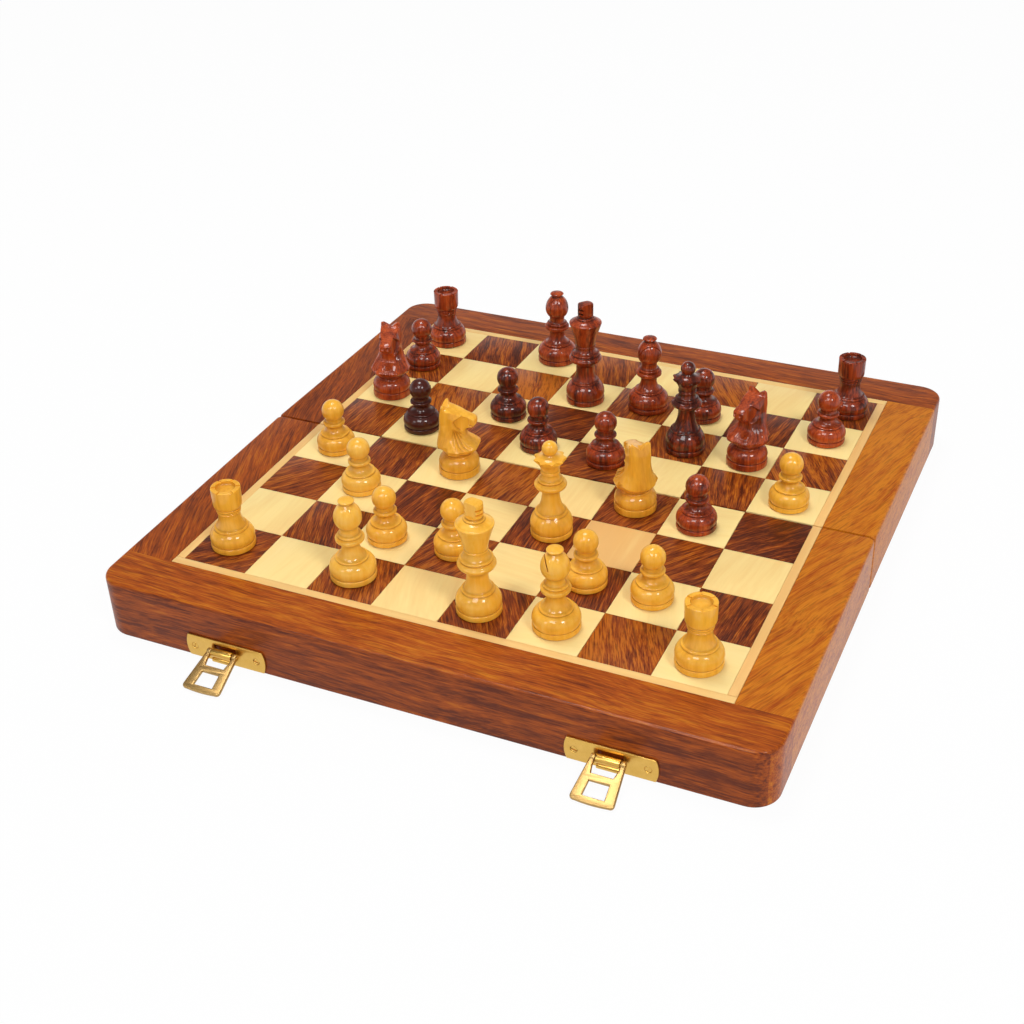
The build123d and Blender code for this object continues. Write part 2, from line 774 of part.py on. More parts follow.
rook_steps = pedestal(rook_foot_radius, rook_foot_height, rook_dome_height,
                      rook_ledge_radius, rook_ledge_height, 1.3) + [
    (rook_neck_radius, rook_stem_height, -0.35),
    (rook_neck_radius, 0.9, 0),
    (rook_neck_radius + 0.35, 0.7, 0),
    (rook_neck_radius + 0.25, 0.15, 0),
    (rook_neck_radius + 0.55, 0.9, 0),
    (rook_neck_radius + 0.35, 0.15, 0),
    (rook_neck_radius + 0.75, 0.9, 0),
    (rook_neck_radius + 0.55, 0.15, 0),
    (rook_tower_radius - 0.1, 2.3, 0.25),
    (rook_tower_radius, rook_tower_height, 0),
    (rook_tower_radius - 0.4, 0.3, 0)]
rook_top = height_of(rook_steps)
rook_steps += [
    (rook_cup_radius, 0, 0),
    (rook_cup_radius - 0.2, -rook_cup_depth, 0)]

pawn_steps = pedestal(pawn_foot_radius, pawn_foot_height, pawn_dome_height,
                      pawn_ledge_radius, pawn_ledge_height, 1.35) + [
    (pawn_neck_radius, pawn_stem_height, -0.35),
    (pawn_neck_radius + 0.1, 0.4, 0),
    (pawn_collar_radius - 0.3, 0.9, 0),
    (pawn_collar_radius, 0.7, 0),
    (pawn_collar_radius - 0.3, 0.7, 0),
    (pawn_ball_neck_radius + 0.2, 0.3, 0),
    (pawn_ball_neck_radius, 1.6, 0)] + ball(pawn_ball_neck_radius, pawn_ball_radius)

knight_base_steps = [
    (knight_foot_radius, 0, 0),
    (knight_foot_radius, knight_foot_height, 0),
    (knight_foot_radius - groove_depth, groove_height, 0),
    (knight_foot_radius - groove_depth + groove_flare, groove_rise, 0),
    (knight_foot_radius - 0.1, knight_drum_height, 0),
    (knight_neck_radius + 0.2, knight_shoulder_height, 0.75),
    (knight_neck_radius, 0.5, 0)]
knight_collar = height_of(knight_base_steps)


with BuildPart() as magnet_pocket:
    with Locations((0, 0, felt_thickness)):
        Cylinder(magnet_radius + magnet_clearance, magnet_height + magnet_clearance,
                 align=(Align.CENTER, Align.CENTER, Align.MIN))

with BuildPart() as magnet:
    with Locations((0, 0, felt_thickness)):
        Cylinder(magnet_radius, magnet_height, align=(Align.CENTER, Align.CENTER, Align.MIN))


def felt_pad(foot_radius):
    """Felt disc under a man's foot."""
    with BuildPart() as felt:
        Cylinder(foot_radius - felt_inset, felt_thickness,
                 align=(Align.CENTER, Align.CENTER, Align.MIN))
    return felt.part


with BuildPart() as king:
    with BuildSketch(Plane.XZ):
        with BuildLine():
            turn(king_steps)
        make_face()
    revolve(axis=Axis.Z)
    cross_top = king_cross_start + 0.9 + king_finial_height + 1.1
    for side in (-1, 1):
        flat_face = sorted((side * king_cross_thickness / 2, side * (king_finial_radius + 1)))
        slab((-king_finial_radius - 1, king_finial_radius + 1), flat_face,
             (king_cross_start + 0.9, cross_top), mode=Mode.SUBTRACT)
        for level in king_notch_levels:
            notch = Location((side * king_finial_radius, 0, king_cross_start + 0.9 + level),
                             (0, 45, 0))
            with Locations(notch):
                Box(king_cross_notch, 2 * king_finial_radius, king_cross_notch,
                    mode=Mode.SUBTRACT)
    add(magnet_pocket.part, mode=Mode.SUBTRACT)

with BuildPart() as queen:
    with BuildSketch(Plane.XZ):
        with BuildLine():
            turn(queen_steps)
        make_face()
    revolve(axis=Axis.Z)
    scallop_reach = queen_crown_radius - queen_scallop_depth + queen_scallop_radius
    scallop_start = queen_crown_start + queen_crown_height / 2
    with BuildSketch(Plane.XY.offset(scallop_start)):
        with PolarLocations(scallop_reach, queen_scallops):
            Circle(queen_scallop_radius)
    extrude(amount=queen_crown_height, mode=Mode.SUBTRACT)
    add(magnet_pocket.part, mode=Mode.SUBTRACT)

with BuildPart() as bishop:
    with BuildSketch(Plane.XZ):
        with BuildLine():
            turn(bishop_steps)
        make_face()
    revolve(axis=Axis.Z)
    slit_level = bishop_head_start + bishop_head_lower_height + bishop_head_upper_height / 3
    with Locations(Location((bishop_head_radius, 0, slit_level), (0, bishop_slit_angle, 0))):
        Box(2 * bishop_slit_depth, 2 * bishop_head_radius, bishop_slit_width,
            mode=Mode.SUBTRACT)
    add(magnet_pocket.part, mode=Mode.SUBTRACT)

with BuildPart() as rook:
    with BuildSketch(Plane.XZ):
        with BuildLine():
            turn(rook_steps)
        make_face()
    revolve(axis=Axis.Z)
    with BuildSketch(Plane.XY.offset(rook_top - rook_notch_depth)):
        with PolarLocations(0, rook_notches, 30, 180):
            Rectangle(2 * rook_tower_radius + 1, rook_notch_width)
    extrude(amount=rook_notch_depth, mode=Mode.SUBTRACT)
    add(magnet_pocket.part, mode=Mode.SUBTRACT)

with BuildPart() as pawn:
    with BuildSketch(Plane.XZ):
        with BuildLine():
            turn(pawn_steps)
        make_face()
    revolve(axis=Axis.Z)
    add(magnet_pocket.part, mode=Mode.SUBTRACT)


# ---------------------------------------------------------------- carved knight
# The horse is carved from the turned bust: its side and front outlines cut the round blank.
# Outline points are reach from the axis and height above the base's neck.
knight_back = [(-7.6, 0), (-9.7, 3.3), (-8.9, 10.0), (-8.2, 16.5), (-7.4, 22.5), (-5.4, 25.7)]
knight_face = [(-3.4, 24.4), (3.0, 22.9), (8.2, 21.1)]
knight_muzzle = [(9.1, 18.8), (7.8, 15.6), (5.0, 14.0)]
knight_chest = [(4.4, 11.0), (6.6, 7.6), (9.6, 3.4), (7.6, 0)]
knight_flank = [(7.6, 0), (9.4, 3.2), (6.6, 8.4), (4.9, 13.5), (4.4, 17.0), (4.6, 22.0), (4.6, 25.7)]
knight_round = [(0, 0), (7.6, 0), (9.8, 3.2), (9.8, 26.7), (0, 26.7)]
knight_outline_radius = 9.8
knight_outline_height = 25.7
reach_scale = knight_bust_radius / knight_outline_radius
height_scale = knight_bust_height / knight_outline_height


def on_bust(points):
    """Outline points set on the knight's base at its own size."""
    return [(reach * reach_scale, knight_collar + height * height_scale)
            for reach, height in points]


with BuildPart() as knight_head:
    with BuildSketch(Plane.XZ):
        with BuildLine():
            Spline(*on_bust(knight_back))
            Polyline(*on_bust([knight_back[-1]] + knight_face[:1]))
            Spline(*on_bust(knight_face))
            Spline(*on_bust([knight_face[-1]] + knight_muzzle))
            Spline(*on_bust([knight_muzzle[-1]] + knight_chest))
            Line(on_bust(knight_chest)[-1], on_bust(knight_back)[0])
        make_face()
    extrude(amount=2 * knight_bust_radius, both=True)
    with BuildSketch(Plane.YZ):
        with BuildLine():
            Spline(*on_bust(knight_flank))
            Line(on_bust(knight_flank)[-1], on_bust([(0, knight_outline_height)])[0])
            Line(on_bust([(0, knight_outline_height)])[0], on_bust([(0, 0)])[0])
            Line(on_bust([(0, 0)])[0], on_bust(knight_flank)[0])
        make_face()
        mirror(about=Plane.YZ)
    extrude(amount=2 * knight_bust_radius, both=True, mode=Mode.INTERSECT)
    with BuildSketch(Plane.XZ):
        with BuildLine():
            Polyline(*on_bust(knight_round), close=True)
        make_face()
    revolve(axis=Axis.Z, mode=Mode.INTERSECT)
    ear_level = knight_collar + knight_bust_height
    with BuildSketch(Plane.YZ):
        with BuildLine():
            Polyline((-knight_ear_cut_width / 2, ear_level + 1),
                     (knight_ear_cut_width / 2, ear_level + 1),
                     (0, ear_level - knight_ear_cut_depth), close=True)
        make_face()
    extrude(amount=2 * knight_bust_radius, both=True, mode=Mode.SUBTRACT)

with BuildPart() as knight:
    with BuildSketch(Plane.XZ):
        with BuildLine():
            turn(knight_base_steps)
        make_face()
    revolve(axis=Axis.Z)
    add(knight_head.part)
    add(magnet_pocket.part, mode=Mode.SUBTRACT)

men = {
    "king": (king.part, king_foot_radius),
    "queen": (queen.part, queen_foot_radius),
    "bishop": (bishop.part, bishop_foot_radius),
    "knight": (knight.part, knight_foot_radius),
    "rook": (rook.part, rook_foot_radius),
    "pawn": (pawn.part, pawn_foot_radius),
}

# Each man in play: name, kind, square, its place off the square's centre (right, away) and the
# heading of its front, counted from +X towards +Y in degrees.
men_in_play = [
    ("light_rook_a", "rook", "a1", -1.0, 2.2, 0),
    ("light_rook_h", "rook", "h1", -0.5, -1.1, 20),
    ("light_knight_b", "knight", "c4", 3.8, 1.6, 10),
    ("light_knight_g", "knight", "f4", -0.8, 1.7, 128),
    ("light_bishop_c", "bishop", "c1", -1.4, 0.9, 150),
    ("light_bishop_f", "bishop", "f1", 0.5, -0.2, 205),
    ("light_queen", "queen", "e3", 2.8, 0.3, 0),
    ("light_king", "king", "e1", -2.7, -1.5, 350),
    ("light_pawn_a", "pawn", "a4", 0.7, -1.7, 0),
    ("light_pawn_b", "pawn", "b3", -1.4, 2.2, 0),
    ("light_pawn_c", "pawn", "c2", -1.4, 0.5, 0),
    ("light_pawn_d", "pawn", "d2", 0.1, 2.4, 0),
    ("light_pawn_f", "pawn", "f2", 0.4, 1.3, 0),
    ("light_pawn_g", "pawn", "g2", -0.9, 0.8, 0),
    ("light_pawn_h", "pawn", "h5", 0.6, -3.0, 0),
    ("dark_rook_a", "rook", "a8", -1.7, 0.7, 0),
    ("dark_rook_h", "rook", "h8", 3.7, 0.6, 30),
    ("dark_knight_b", "knight", "a6", -1.2, -3.6, 285),
    ("dark_knight_g", "knight", "g6", 3.1, -4.8, 250),
    ("dark_bishop_c", "bishop", "c8", 1.0, 2.2, 60),
    ("dark_bishop_f", "bishop", "e7", 2.8, -0.2, 300),
    ("dark_queen", "queen", "f6", 3.0, -3.4, 0),
    ("dark_king", "king", "d7", 1.3, -4.4, 50),
    ("dark_pawn_a", "pawn", "a7", -0.9, 0.6, 0),
    ("dark_pawn_b", "pawn", "b5", -0.7, 0.1, 0),
    ("dark_pawn_c", "pawn", "c6", 2.9, -3.4, 0),
    ("dark_pawn_d", "pawn", "d5", -1.4, 3.9, 0),
    ("dark_pawn_e", "pawn", "e5", 2.8, 2.4, 0),
    ("dark_pawn_f", "pawn", "f7", 0.4, 0.1, 0),
    ("dark_pawn_g", "pawn", "g4", -1.2, -3.3, 0),
    ("dark_pawn_h", "pawn", "h7", 1.0, -0.4, 0),
]


def standing_place(square_name, right, away, heading):
    """Location on the playing surface under a man, turned to the man's heading."""
    column = "abcdefgh".index(square_name[0])
    rank = int(square_name[1])
    x = (column + 0.5) * square - field_half_width + right
    y = (rank - ranks_per_half - 0.5) * square + away
    side = 1 if y > 0 else -1
    deck = decks["far" if y > 0 else "near"]
    origin = deck.from_local_coords((side * x, side * y, standing_gap))
    return Plane(origin, x_dir=(1, 0, 0), z_dir=deck.z_dir).location * Rot(0, 0, heading)


def write_man(name, kind, place):
    """Writes a man's turned body, magnet and felt at a place."""
    body, foot_radius = men[kind]
    solids = (body, magnet.part, felt_pad(foot_radius))
    write_node(name, *[solid.moved(place) for solid in solids])


# ---------------------------------------------------------------- write the board
face_seats = {"near": clasp_seats, "far": catch_seats}
for half, deck in decks.items():
    write_node(f"outer_rail_{half}", outer_rail(deck, face_seats[half]))
    write_node(f"side_rails_{half}", side_rails(deck))
    write_node(f"fold_rail_{half}", fold_rail(deck))
    write_node(f"inlay_strips_{half}", inlay_strips(deck))
    write_node(f"light_squares_{half}", squares(deck, dark=False))
    write_node(f"dark_squares_{half}", squares(deck, dark=True))
    write_node(f"steel_sheet_{half}", sheet(deck, (panel_top, -veneer_thickness)))
    write_node(f"backing_panel_{half}", sheet(deck, (ledge_top, panel_top)))
    write_node(f"foam_insert_{half}", foam_lining(deck), *foam_dividers(deck).solids())

# ---------------------------------------------------------------- write the brass
write_node("hinge_leaves_near", hinge_leaves(near_deck, True))
write_node("hinge_leaves_far", hinge_leaves(far_deck, False))
write_node("hinge_pins", hinge_pins(near_deck))
write_node("screws_near", *screws(near_deck, hinge_seats + clasp_seats))
write_node("screws_far", *screws(far_deck, hinge_seats + catch_seats))
write_node("clasp_plates", clasp_plates(near_deck))
write_node("clasp_pins", clasp_pins(near_deck))
write_node("clasp_loop_left", clasp_loop(1))
write_node("clasp_loop_right", clasp_loop(-1))
write_node("catch_plates", catch_plates(far_deck))

# ---------------------------------------------------------------- write the men
for name, kind, square_name, right, away, heading in men_in_play:
    write_man(name, kind, standing_place(square_name, right, away, heading))

# The pawn that is out of play lies on its side in the near half's last trough, foot outward.
stored_trough = trough_layout()[0]
stored_x = (stored_trough[0] + stored_trough[1]) / 2
stored_origin = near_deck.from_local_coords((stored_x, inner_half_width - man_clearance,
                                             lining_bottom - pawn_foot_radius - man_clearance))
stored_plane = Plane(stored_origin, x_dir=near_deck.x_dir, z_dir=-near_deck.y_dir)
write_man("light_pawn_e", "pawn", stored_plane.location)
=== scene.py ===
# %% [markdown]
# # A folding chess set
# The set is a box that opens flat. Its two halves are trays turned upside down, so the playing
# squares are on the outside and the men are kept inside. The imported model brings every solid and
# every joint. This lesson dresses it: each piece that shows is made again as a finer mesh in the
# same place, with its own wood, brass, felt or foam, and rides on the body that it belongs to.

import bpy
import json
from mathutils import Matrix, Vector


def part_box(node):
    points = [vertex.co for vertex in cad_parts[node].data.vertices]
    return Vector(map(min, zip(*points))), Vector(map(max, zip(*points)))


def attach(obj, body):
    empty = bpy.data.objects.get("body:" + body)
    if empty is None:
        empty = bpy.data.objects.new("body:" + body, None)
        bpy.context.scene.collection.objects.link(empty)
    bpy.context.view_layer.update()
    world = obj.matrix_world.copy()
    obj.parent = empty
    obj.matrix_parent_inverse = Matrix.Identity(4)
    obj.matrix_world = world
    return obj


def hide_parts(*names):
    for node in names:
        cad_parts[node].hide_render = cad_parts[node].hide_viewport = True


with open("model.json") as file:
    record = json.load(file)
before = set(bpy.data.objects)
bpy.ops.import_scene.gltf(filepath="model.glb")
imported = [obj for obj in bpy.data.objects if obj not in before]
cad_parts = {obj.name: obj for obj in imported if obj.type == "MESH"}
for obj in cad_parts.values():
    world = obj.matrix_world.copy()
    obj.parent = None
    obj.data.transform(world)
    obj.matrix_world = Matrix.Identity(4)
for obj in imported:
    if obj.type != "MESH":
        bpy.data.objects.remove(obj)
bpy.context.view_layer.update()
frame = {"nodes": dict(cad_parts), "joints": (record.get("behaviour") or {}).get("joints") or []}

# %% [markdown]
# Both halves slope down a little from the fold, because they stand on the hinge barrels under it.
# Work is easier on a level board, so each half gets a place of its own. Its origin is in the
# playing surface at the middle of the fold, X runs along the fold, Y runs outward and Z rises out
# of the squares. The fold joint says where the hinge line is, and the slides that lift the men
# say which way each half faces.

# %% The place of each half
import json
from math import asin, atan2, cos, degrees, hypot, pi, radians, sin, sqrt

import bmesh
import bpy
import numpy as np
from mathutils import Matrix, Vector

MM = 0.001
BOARD_THICKNESS = 28.0
RIM_TO_AXIS = 0.2
joints = {joint["name"]: joint for joint in frame["joints"]}
fold_line = Vector(joints["fold"]["pos_m"])


def upright(along, up, spot):
    """Place whose X runs along, whose Z rises up and whose origin is at the spot."""
    place = Matrix((along, up.cross(along), up)).transposed().to_4x4()
    place.translation = spot
    return place


def deck_place(side, lift_joint):
    """Place of the near half (side -1) or the far half (side 1)."""
    up = Vector(joints[lift_joint]["axis"]).normalized()
    middle = fold_line + up * (BOARD_THICKNESS + RIM_TO_AXIS) * MM
    return upright(Vector((side, 0, 0)), up, middle)


decks = {"near": deck_place(-1, "lift_light_king"), "far": deck_place(1, "lift_dark_king")}
for half, place in decks.items():
    print(half, "half slopes by", round(degrees(place.to_3x3().col[2].angle(Vector((0, 0, 1)))), 2))

# %% [markdown]
# Every mesh in this lesson is written in millimetres and ends the same way: it is scaled to
# metres, smoothed except at its sharp edges, given its finish and set to ride on a body. A few
# helpers do all of that. Numbers that differ from piece to piece, such as how dark one square
# is, go into the mesh as attributes, and the finishes read them.

# %% The helpers that finish a mesh
def into_scene(name, data):
    """An object in the scene for a mesh, a curve, a lamp or a camera."""
    thing = bpy.data.objects.new(name, data)
    bpy.context.scene.collection.objects.link(thing)
    return thing


def finish_mesh(name, mesh, finish, body, stands_for=(), place=None, sharp=35):
    """Puts a mesh into the scene as a piece that rides on a body and stands for CAD nodes."""
    mesh.shade_smooth()
    mesh.set_sharp_from_angle(angle=radians(sharp))
    piece = into_scene(name, mesh)
    piece.matrix_world = place or Matrix.Identity(4)
    mesh.materials.clear()
    mesh.materials.append(finish)
    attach(piece, body)
    if stands_for:
        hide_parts(*stands_for)
    return piece


def mesh_from(name, points, faces):
    """A mesh from points in millimetres, with every face turned outward."""
    mesh = bpy.data.meshes.new(name)
    mesh.from_pydata([(x * MM, y * MM, z * MM) for x, y, z in points], [], faces)
    shape = bmesh.new()
    shape.from_mesh(mesh)
    bmesh.ops.recalc_face_normals(shape, faces=shape.faces)
    shape.to_mesh(mesh)
    shape.free()
    return mesh


def note(mesh, name, values, kind="FLOAT", domain="FACE"):
    """Writes one value for each face or point of a mesh, or the same value for all of them."""
    if not hasattr(values, "__len__") or (kind == "FLOAT_VECTOR" and np.ndim(values) == 1):
        values = [values] * len(mesh.polygons)
    attribute = mesh.attributes.new(name, kind, domain)
    field = "vector" if kind == "FLOAT_VECTOR" else "value"
    attribute.data.foreach_set(field, np.array(values, np.float32).ravel())


def note_wood(mesh, tone, degrees_off, plank):
    """Notes how light the wood is, which way its grain runs and where in the plank it was."""
    note(mesh, "tone", tone)
    note(mesh, "grain_angle", np.radians(degrees_off))
    note(mesh, "plank", plank, "FLOAT_VECTOR")


print("helpers ready: a mesh is written at", MM, "m to the millimetre")

# %% [markdown]
# A finish is a material made of nodes. The shader's own sockets hold what is the same all over,
# and nodes feed only what changes: colour, roughness and bump. A small class keeps the wiring
# short: it adds a node, sets its inputs by name and links whatever is an output of another node.

# %% The helper that wires a finish
class Finish:
    """A material, and short ways to wire its nodes."""

    def __init__(self, name, **sockets):
        self.material = bpy.data.materials.new(name)
        self.material.use_nodes = True
        self.tree = self.material.node_tree
        self.shader = self.tree.nodes["Principled BSDF"]
        for socket, value in sockets.items():
            self.feed(self.shader.inputs[socket.replace("_", " ")], value)

    def feed(self, socket, value):
        """Links an output to a socket, or writes a plain value on it."""
        if isinstance(value, bpy.types.NodeSocket):
            self.tree.links.new(value, socket)
        elif isinstance(value, tuple) and len(value) == 3 and socket.type == "RGBA":
            socket.default_value = (*value, 1)
        else:
            socket.default_value = value

    def add(self, kind, settings=(), **inputs):
        """Adds a node. Inputs go by name, or by number as i0, i1 and so on."""
        node = self.tree.nodes.new("ShaderNode" + kind)
        for key, value in dict(settings).items():
            setattr(node, key, value)
        for key, value in inputs.items():
            self.feed(node.inputs[int(key[1:]) if key[1:].isdigit() else key.replace("_", " ")],
                      value)
        return node

    def math(self, operation, first, second=0.0, clamp=False):
        settings = {"operation": operation, "use_clamp": clamp}
        return self.add("Math", settings, i0=first, i1=second).outputs[0]

    def mix(self, share, first, second):
        node = self.add("Mix", {"data_type": "RGBA"}, i0=share, i6=first, i7=second)
        return node.outputs[2]

    def ramp(self, value, stops):
        """Colours or grey levels at given places, with even slopes between."""
        node = self.add("ValToRGB", Fac=value)
        marks = node.color_ramp.elements
        while len(marks) < len(stops):
            marks.new(0.5)
        for mark, (place, colour) in zip(marks, stops):
            mark.position = place
            mark.color = (*colour, 1) if isinstance(colour, tuple) else (colour,) * 3 + (1,)
        return node.outputs[0]

    def noise(self, vector, scale, detail=2.0, roughness=0.5, distortion=0.0):
        return self.add("TexNoise", Vector=vector, Scale=scale, Detail=detail,
                        Roughness=roughness, Distortion=distortion).outputs[0]

    def bump(self, height, strength, distance):
        node = self.add("Bump", Height=height, Strength=strength, Distance=distance)
        self.feed(self.shader.inputs["Normal"], node.outputs[0])


print("a finish can add nodes, mix, ramp, noise and bump")

# %% [markdown]
# Wood is one recipe with several sets of numbers. Grain lines run along the board and wander
# slowly, so the lines come from noise that is stretched a long way along the grain, bent by a
# second, wider noise. Broad streaks, fine lines and short dark pores are added on top of each
# other. Each piece of wood reads its own grain angle, place in the plank and tone, so no two
# squares match, which is what shows that the board is pieced together from separate veneers.

# %% Wood
GRAIN_STRETCH = (0.07, 1.0, 1.0)


def wood(name, pale, middle, dark, streaks, pores, lines=0.5, contrast=1.0, coat=0.15,
         sheen=0.12, upright=False, groove_shade=0.0):
    """Lacquered wood with its grain along local X, or along local Z for a turned man."""
    finish = Finish(name, Roughness=0.45, Coat_Weight=coat, Coat_Roughness=sheen,
                    Coat_IOR=1.5, Specular_IOR_Level=0.15)
    place = finish.add("TexCoord").outputs["Object"]
    surface = place
    if upright:
        place = finish.add("VectorRotate", {"rotation_type": "Y_AXIS"}, Vector=place,
                           Angle=radians(90)).outputs[0]
    angle = finish.add("Attribute", {"attribute_name": "grain_angle"}).outputs["Fac"]
    plank = finish.add("Attribute", {"attribute_name": "plank"}).outputs["Vector"]
    tone = finish.add("Attribute", {"attribute_name": "tone"}).outputs["Fac"]
    turned = finish.add("VectorRotate", {"rotation_type": "Z_AXIS"}, Vector=place,
                        Angle=angle).outputs[0]
    moved = finish.add("VectorMath", {"operation": "ADD"}, i0=turned, i1=plank).outputs[0]
    sway = finish.noise(moved, 16.0, 1.0)
    sway = finish.math("MULTIPLY", finish.math("SUBTRACT", sway, 0.5), 0.010)
    bent = finish.add("CombineXYZ", X=0.0, Y=sway, Z=sway).outputs[0]
    bent = finish.add("VectorMath", {"operation": "ADD"}, i0=moved, i1=bent).outputs[0]
    long_grain = finish.add("Mapping", Vector=bent, Scale=GRAIN_STRETCH).outputs[0]
    broad = finish.noise(long_grain, streaks, 2.0, 0.5)
    fine = finish.noise(long_grain, streaks * 4.5, 3.0, 0.6)
    pore = finish.ramp(finish.noise(long_grain, 1150.0, 2.0, 0.6), [(0.36, 1.0), (0.47, 0.0)])
    mixed = finish.math("ADD", finish.math("MULTIPLY", finish.math("SUBTRACT", broad, 0.5),
                                           1.5 * contrast),
                        finish.math("MULTIPLY", finish.math("SUBTRACT", fine, 0.5),
                                    2.4 * lines * contrast))
    mixed = finish.math("ADD", finish.math("ADD", mixed, 0.5), tone, clamp=True)
    colour = finish.ramp(mixed, [(0.10, dark), (0.50, middle), (0.90, pale)])
    colour = finish.mix(finish.math("MULTIPLY", pore, pores), colour,
                        tuple(c * 0.35 for c in dark))
    # Painted shade: points noted as lying in a groove are made darker, standing in for the shade
    # that falls there.
    hollow = finish.add("Attribute", {"attribute_name": "hollow"}).outputs["Fac"]
    colour = finish.mix(finish.math("MULTIPLY", hollow, groove_shade, clamp=True), colour,
                        tuple(c * 0.6 for c in dark))
    finish.feed(finish.shader.inputs["Base Color"], colour)
    ripple = finish.noise(surface, 420.0, 2.0)
    relief = finish.math("ADD", finish.math("MULTIPLY", ripple, 0.7),
                         finish.math("MULTIPLY", pore, -0.5 * pores))
    finish.bump(relief, 0.14, 0.0004)
    return finish.material


print("grain is stretched", round(1 / GRAIN_STRETCH[0], 1), "times along the board")

# %% [markdown]
# Now the sets of numbers. The border and the dark squares are rosewood under thin lacquer, with
# strong lines and open pores. The light squares are a pale even wood. The men are boxwood and
# rosewood too, but polished brighter, with their grain upright and painted shade darkening their
# grooves. The panel inside is plain and raw.

# %% The woods of this set
border_wood = wood("border_rosewood", (0.60, 0.190, 0.008), (0.39, 0.074, 0.003),
                   (0.120, 0.018, 0.002), 300.0, 0.30, lines=0.8, contrast=0.6)
dark_veneer = wood("dark_square_veneer", (0.50, 0.135, 0.010), (0.26, 0.046, 0.004),
                   (0.075, 0.012, 0.002), 360.0, 0.45, lines=0.9, contrast=0.95)
light_veneer = wood("light_square_veneer", (0.98, 0.78, 0.37), (0.95, 0.72, 0.29),
                    (0.84, 0.49, 0.17), 120.0, 0.02, lines=0.4, contrast=0.25)
boxwood = wood("boxwood", (0.98, 0.60, 0.11), (0.92, 0.45, 0.035), (0.64, 0.23, 0.010),
               140.0, 0.03, lines=0.5, contrast=0.4, coat=0.55, sheen=0.07, upright=True,
               groove_shade=0.7)
rosewood = wood("rosewood", (0.52, 0.078, 0.010), (0.30, 0.034, 0.003),
                (0.060, 0.006, 0.001), 200.0, 0.3, lines=0.7, contrast=0.8, coat=0.6,
                sheen=0.06, upright=True, groove_shade=0.9)
panel_wood = wood("panel_wood", (0.62, 0.46, 0.28), (0.52, 0.37, 0.21), (0.40, 0.27, 0.14),
                  90.0, 0.2, coat=0.0, sheen=0.5)
woods = (border_wood, dark_veneer, light_veneer, boxwood, rosewood, panel_wood)
print("woods:", [m.name for m in woods])

# %% [markdown]
# The brass is stamped and tumbled, so it is bright but not a mirror: fine scratches in all
# directions, a little darkening in patches, and a warm colour. The swinging loops are duller
# than their plates, so they get a satin brass that is rougher and, as painted shade, darker in
# colour. Steel, felt and foam are plain next to it, but each still has the detail that the hand
# would feel: brushing, fibres, pores.

# %% Brass, steel, felt and foam
EVEN = (1.0, 1.0, 1.0)


def metal(name, pale, dark, roughness, brushed=EVEN):
    """Metal with darker patches and fine scratches, drawn out one way where it is brushed."""
    finish = Finish(name, Metallic=1.0)
    place = finish.add("TexCoord").outputs["Object"]
    patches = finish.noise(place, 350.0, 4.0, 0.6)
    finish.feed(finish.shader.inputs["Base Color"], finish.mix(patches, pale, dark))
    scratches = finish.add("Mapping", Vector=place, Scale=brushed).outputs[0]
    scratches = finish.noise(scratches, 3000.0, 3.0, 0.7)
    finish.feed(finish.shader.inputs["Roughness"],
                finish.math("ADD", finish.math("MULTIPLY", scratches, 0.16), roughness))
    finish.bump(patches, 0.05, 0.0002)
    return finish.material


def fibres(name, pale, dark, scale, strength):
    """Felt: short fluff, painted pale where it stands up and dark between, as painted light and
    shade.
    """
    finish = Finish(name, Roughness=0.95, Sheen_Weight=0.3, Sheen_Roughness=0.6,
                    Specular_IOR_Level=0.15)
    place = finish.add("TexCoord").outputs["Object"]
    fluff = finish.noise(place, scale, 5.0, 0.75)
    # Painted light and shade: the colour follows the fluff's height, pale on top and dark below.
    finish.feed(finish.shader.inputs["Base Color"],
                finish.mix(finish.ramp(fluff, [(0.35, 0.0), (0.65, 1.0)]), dark, pale))
    finish.bump(fluff, strength, 0.0004)
    return finish.material


def foam_cells(name, pale, dark):
    """Foam cut open, so that its round cells show, each painted darker inside as painted shade."""
    finish = Finish(name, Roughness=0.92, Specular_IOR_Level=0.2)
    place = finish.add("TexCoord").outputs["Object"]
    cells = finish.add("TexVoronoi", {"feature": "F1"}, Vector=place, Scale=1400.0).outputs[0]
    # Painted shade: each cell is darker towards its middle, where the bump sinks.
    finish.feed(finish.shader.inputs["Base Color"],
                finish.mix(finish.ramp(cells, [(0.1, 0.0), (0.7, 1.0)]), dark, pale))
    finish.bump(cells, 0.5, 0.0003)
    return finish.material


brass = metal("brass", (0.80, 0.50, 0.13), (0.62, 0.36, 0.07), 0.22)
# Painted shade: the loops' brass is a rougher and darker copy of the plates' brass.
satin_brass_painted_shade = metal("satin_brass_painted_shade", (0.52, 0.34, 0.13), (0.40, 0.24, 0.08), 0.34)
steel = metal("steel_sheet", (0.60, 0.61, 0.63), (0.45, 0.46, 0.48), 0.30, (0.05, 1.0, 1.0))
felt = fibres("green_felt", (0.035, 0.15, 0.06), (0.012, 0.06, 0.025), 2600.0, 0.5)
foam = foam_cells("black_foam", (0.045, 0.045, 0.05), (0.010, 0.010, 0.012))
print("metals and soft finishes:", [m.name for m in (brass, satin_brass_painted_shade, steel, felt, foam)])

# %% [markdown]
# The board is a field of eight by eight squares, then a pale strip, then a wide border, and each
# half is four ranks of it. All sizes are in millimetres from the deck's own origin. Sizes that
# follow from others are worked out from them, so that the board stays in step with itself.

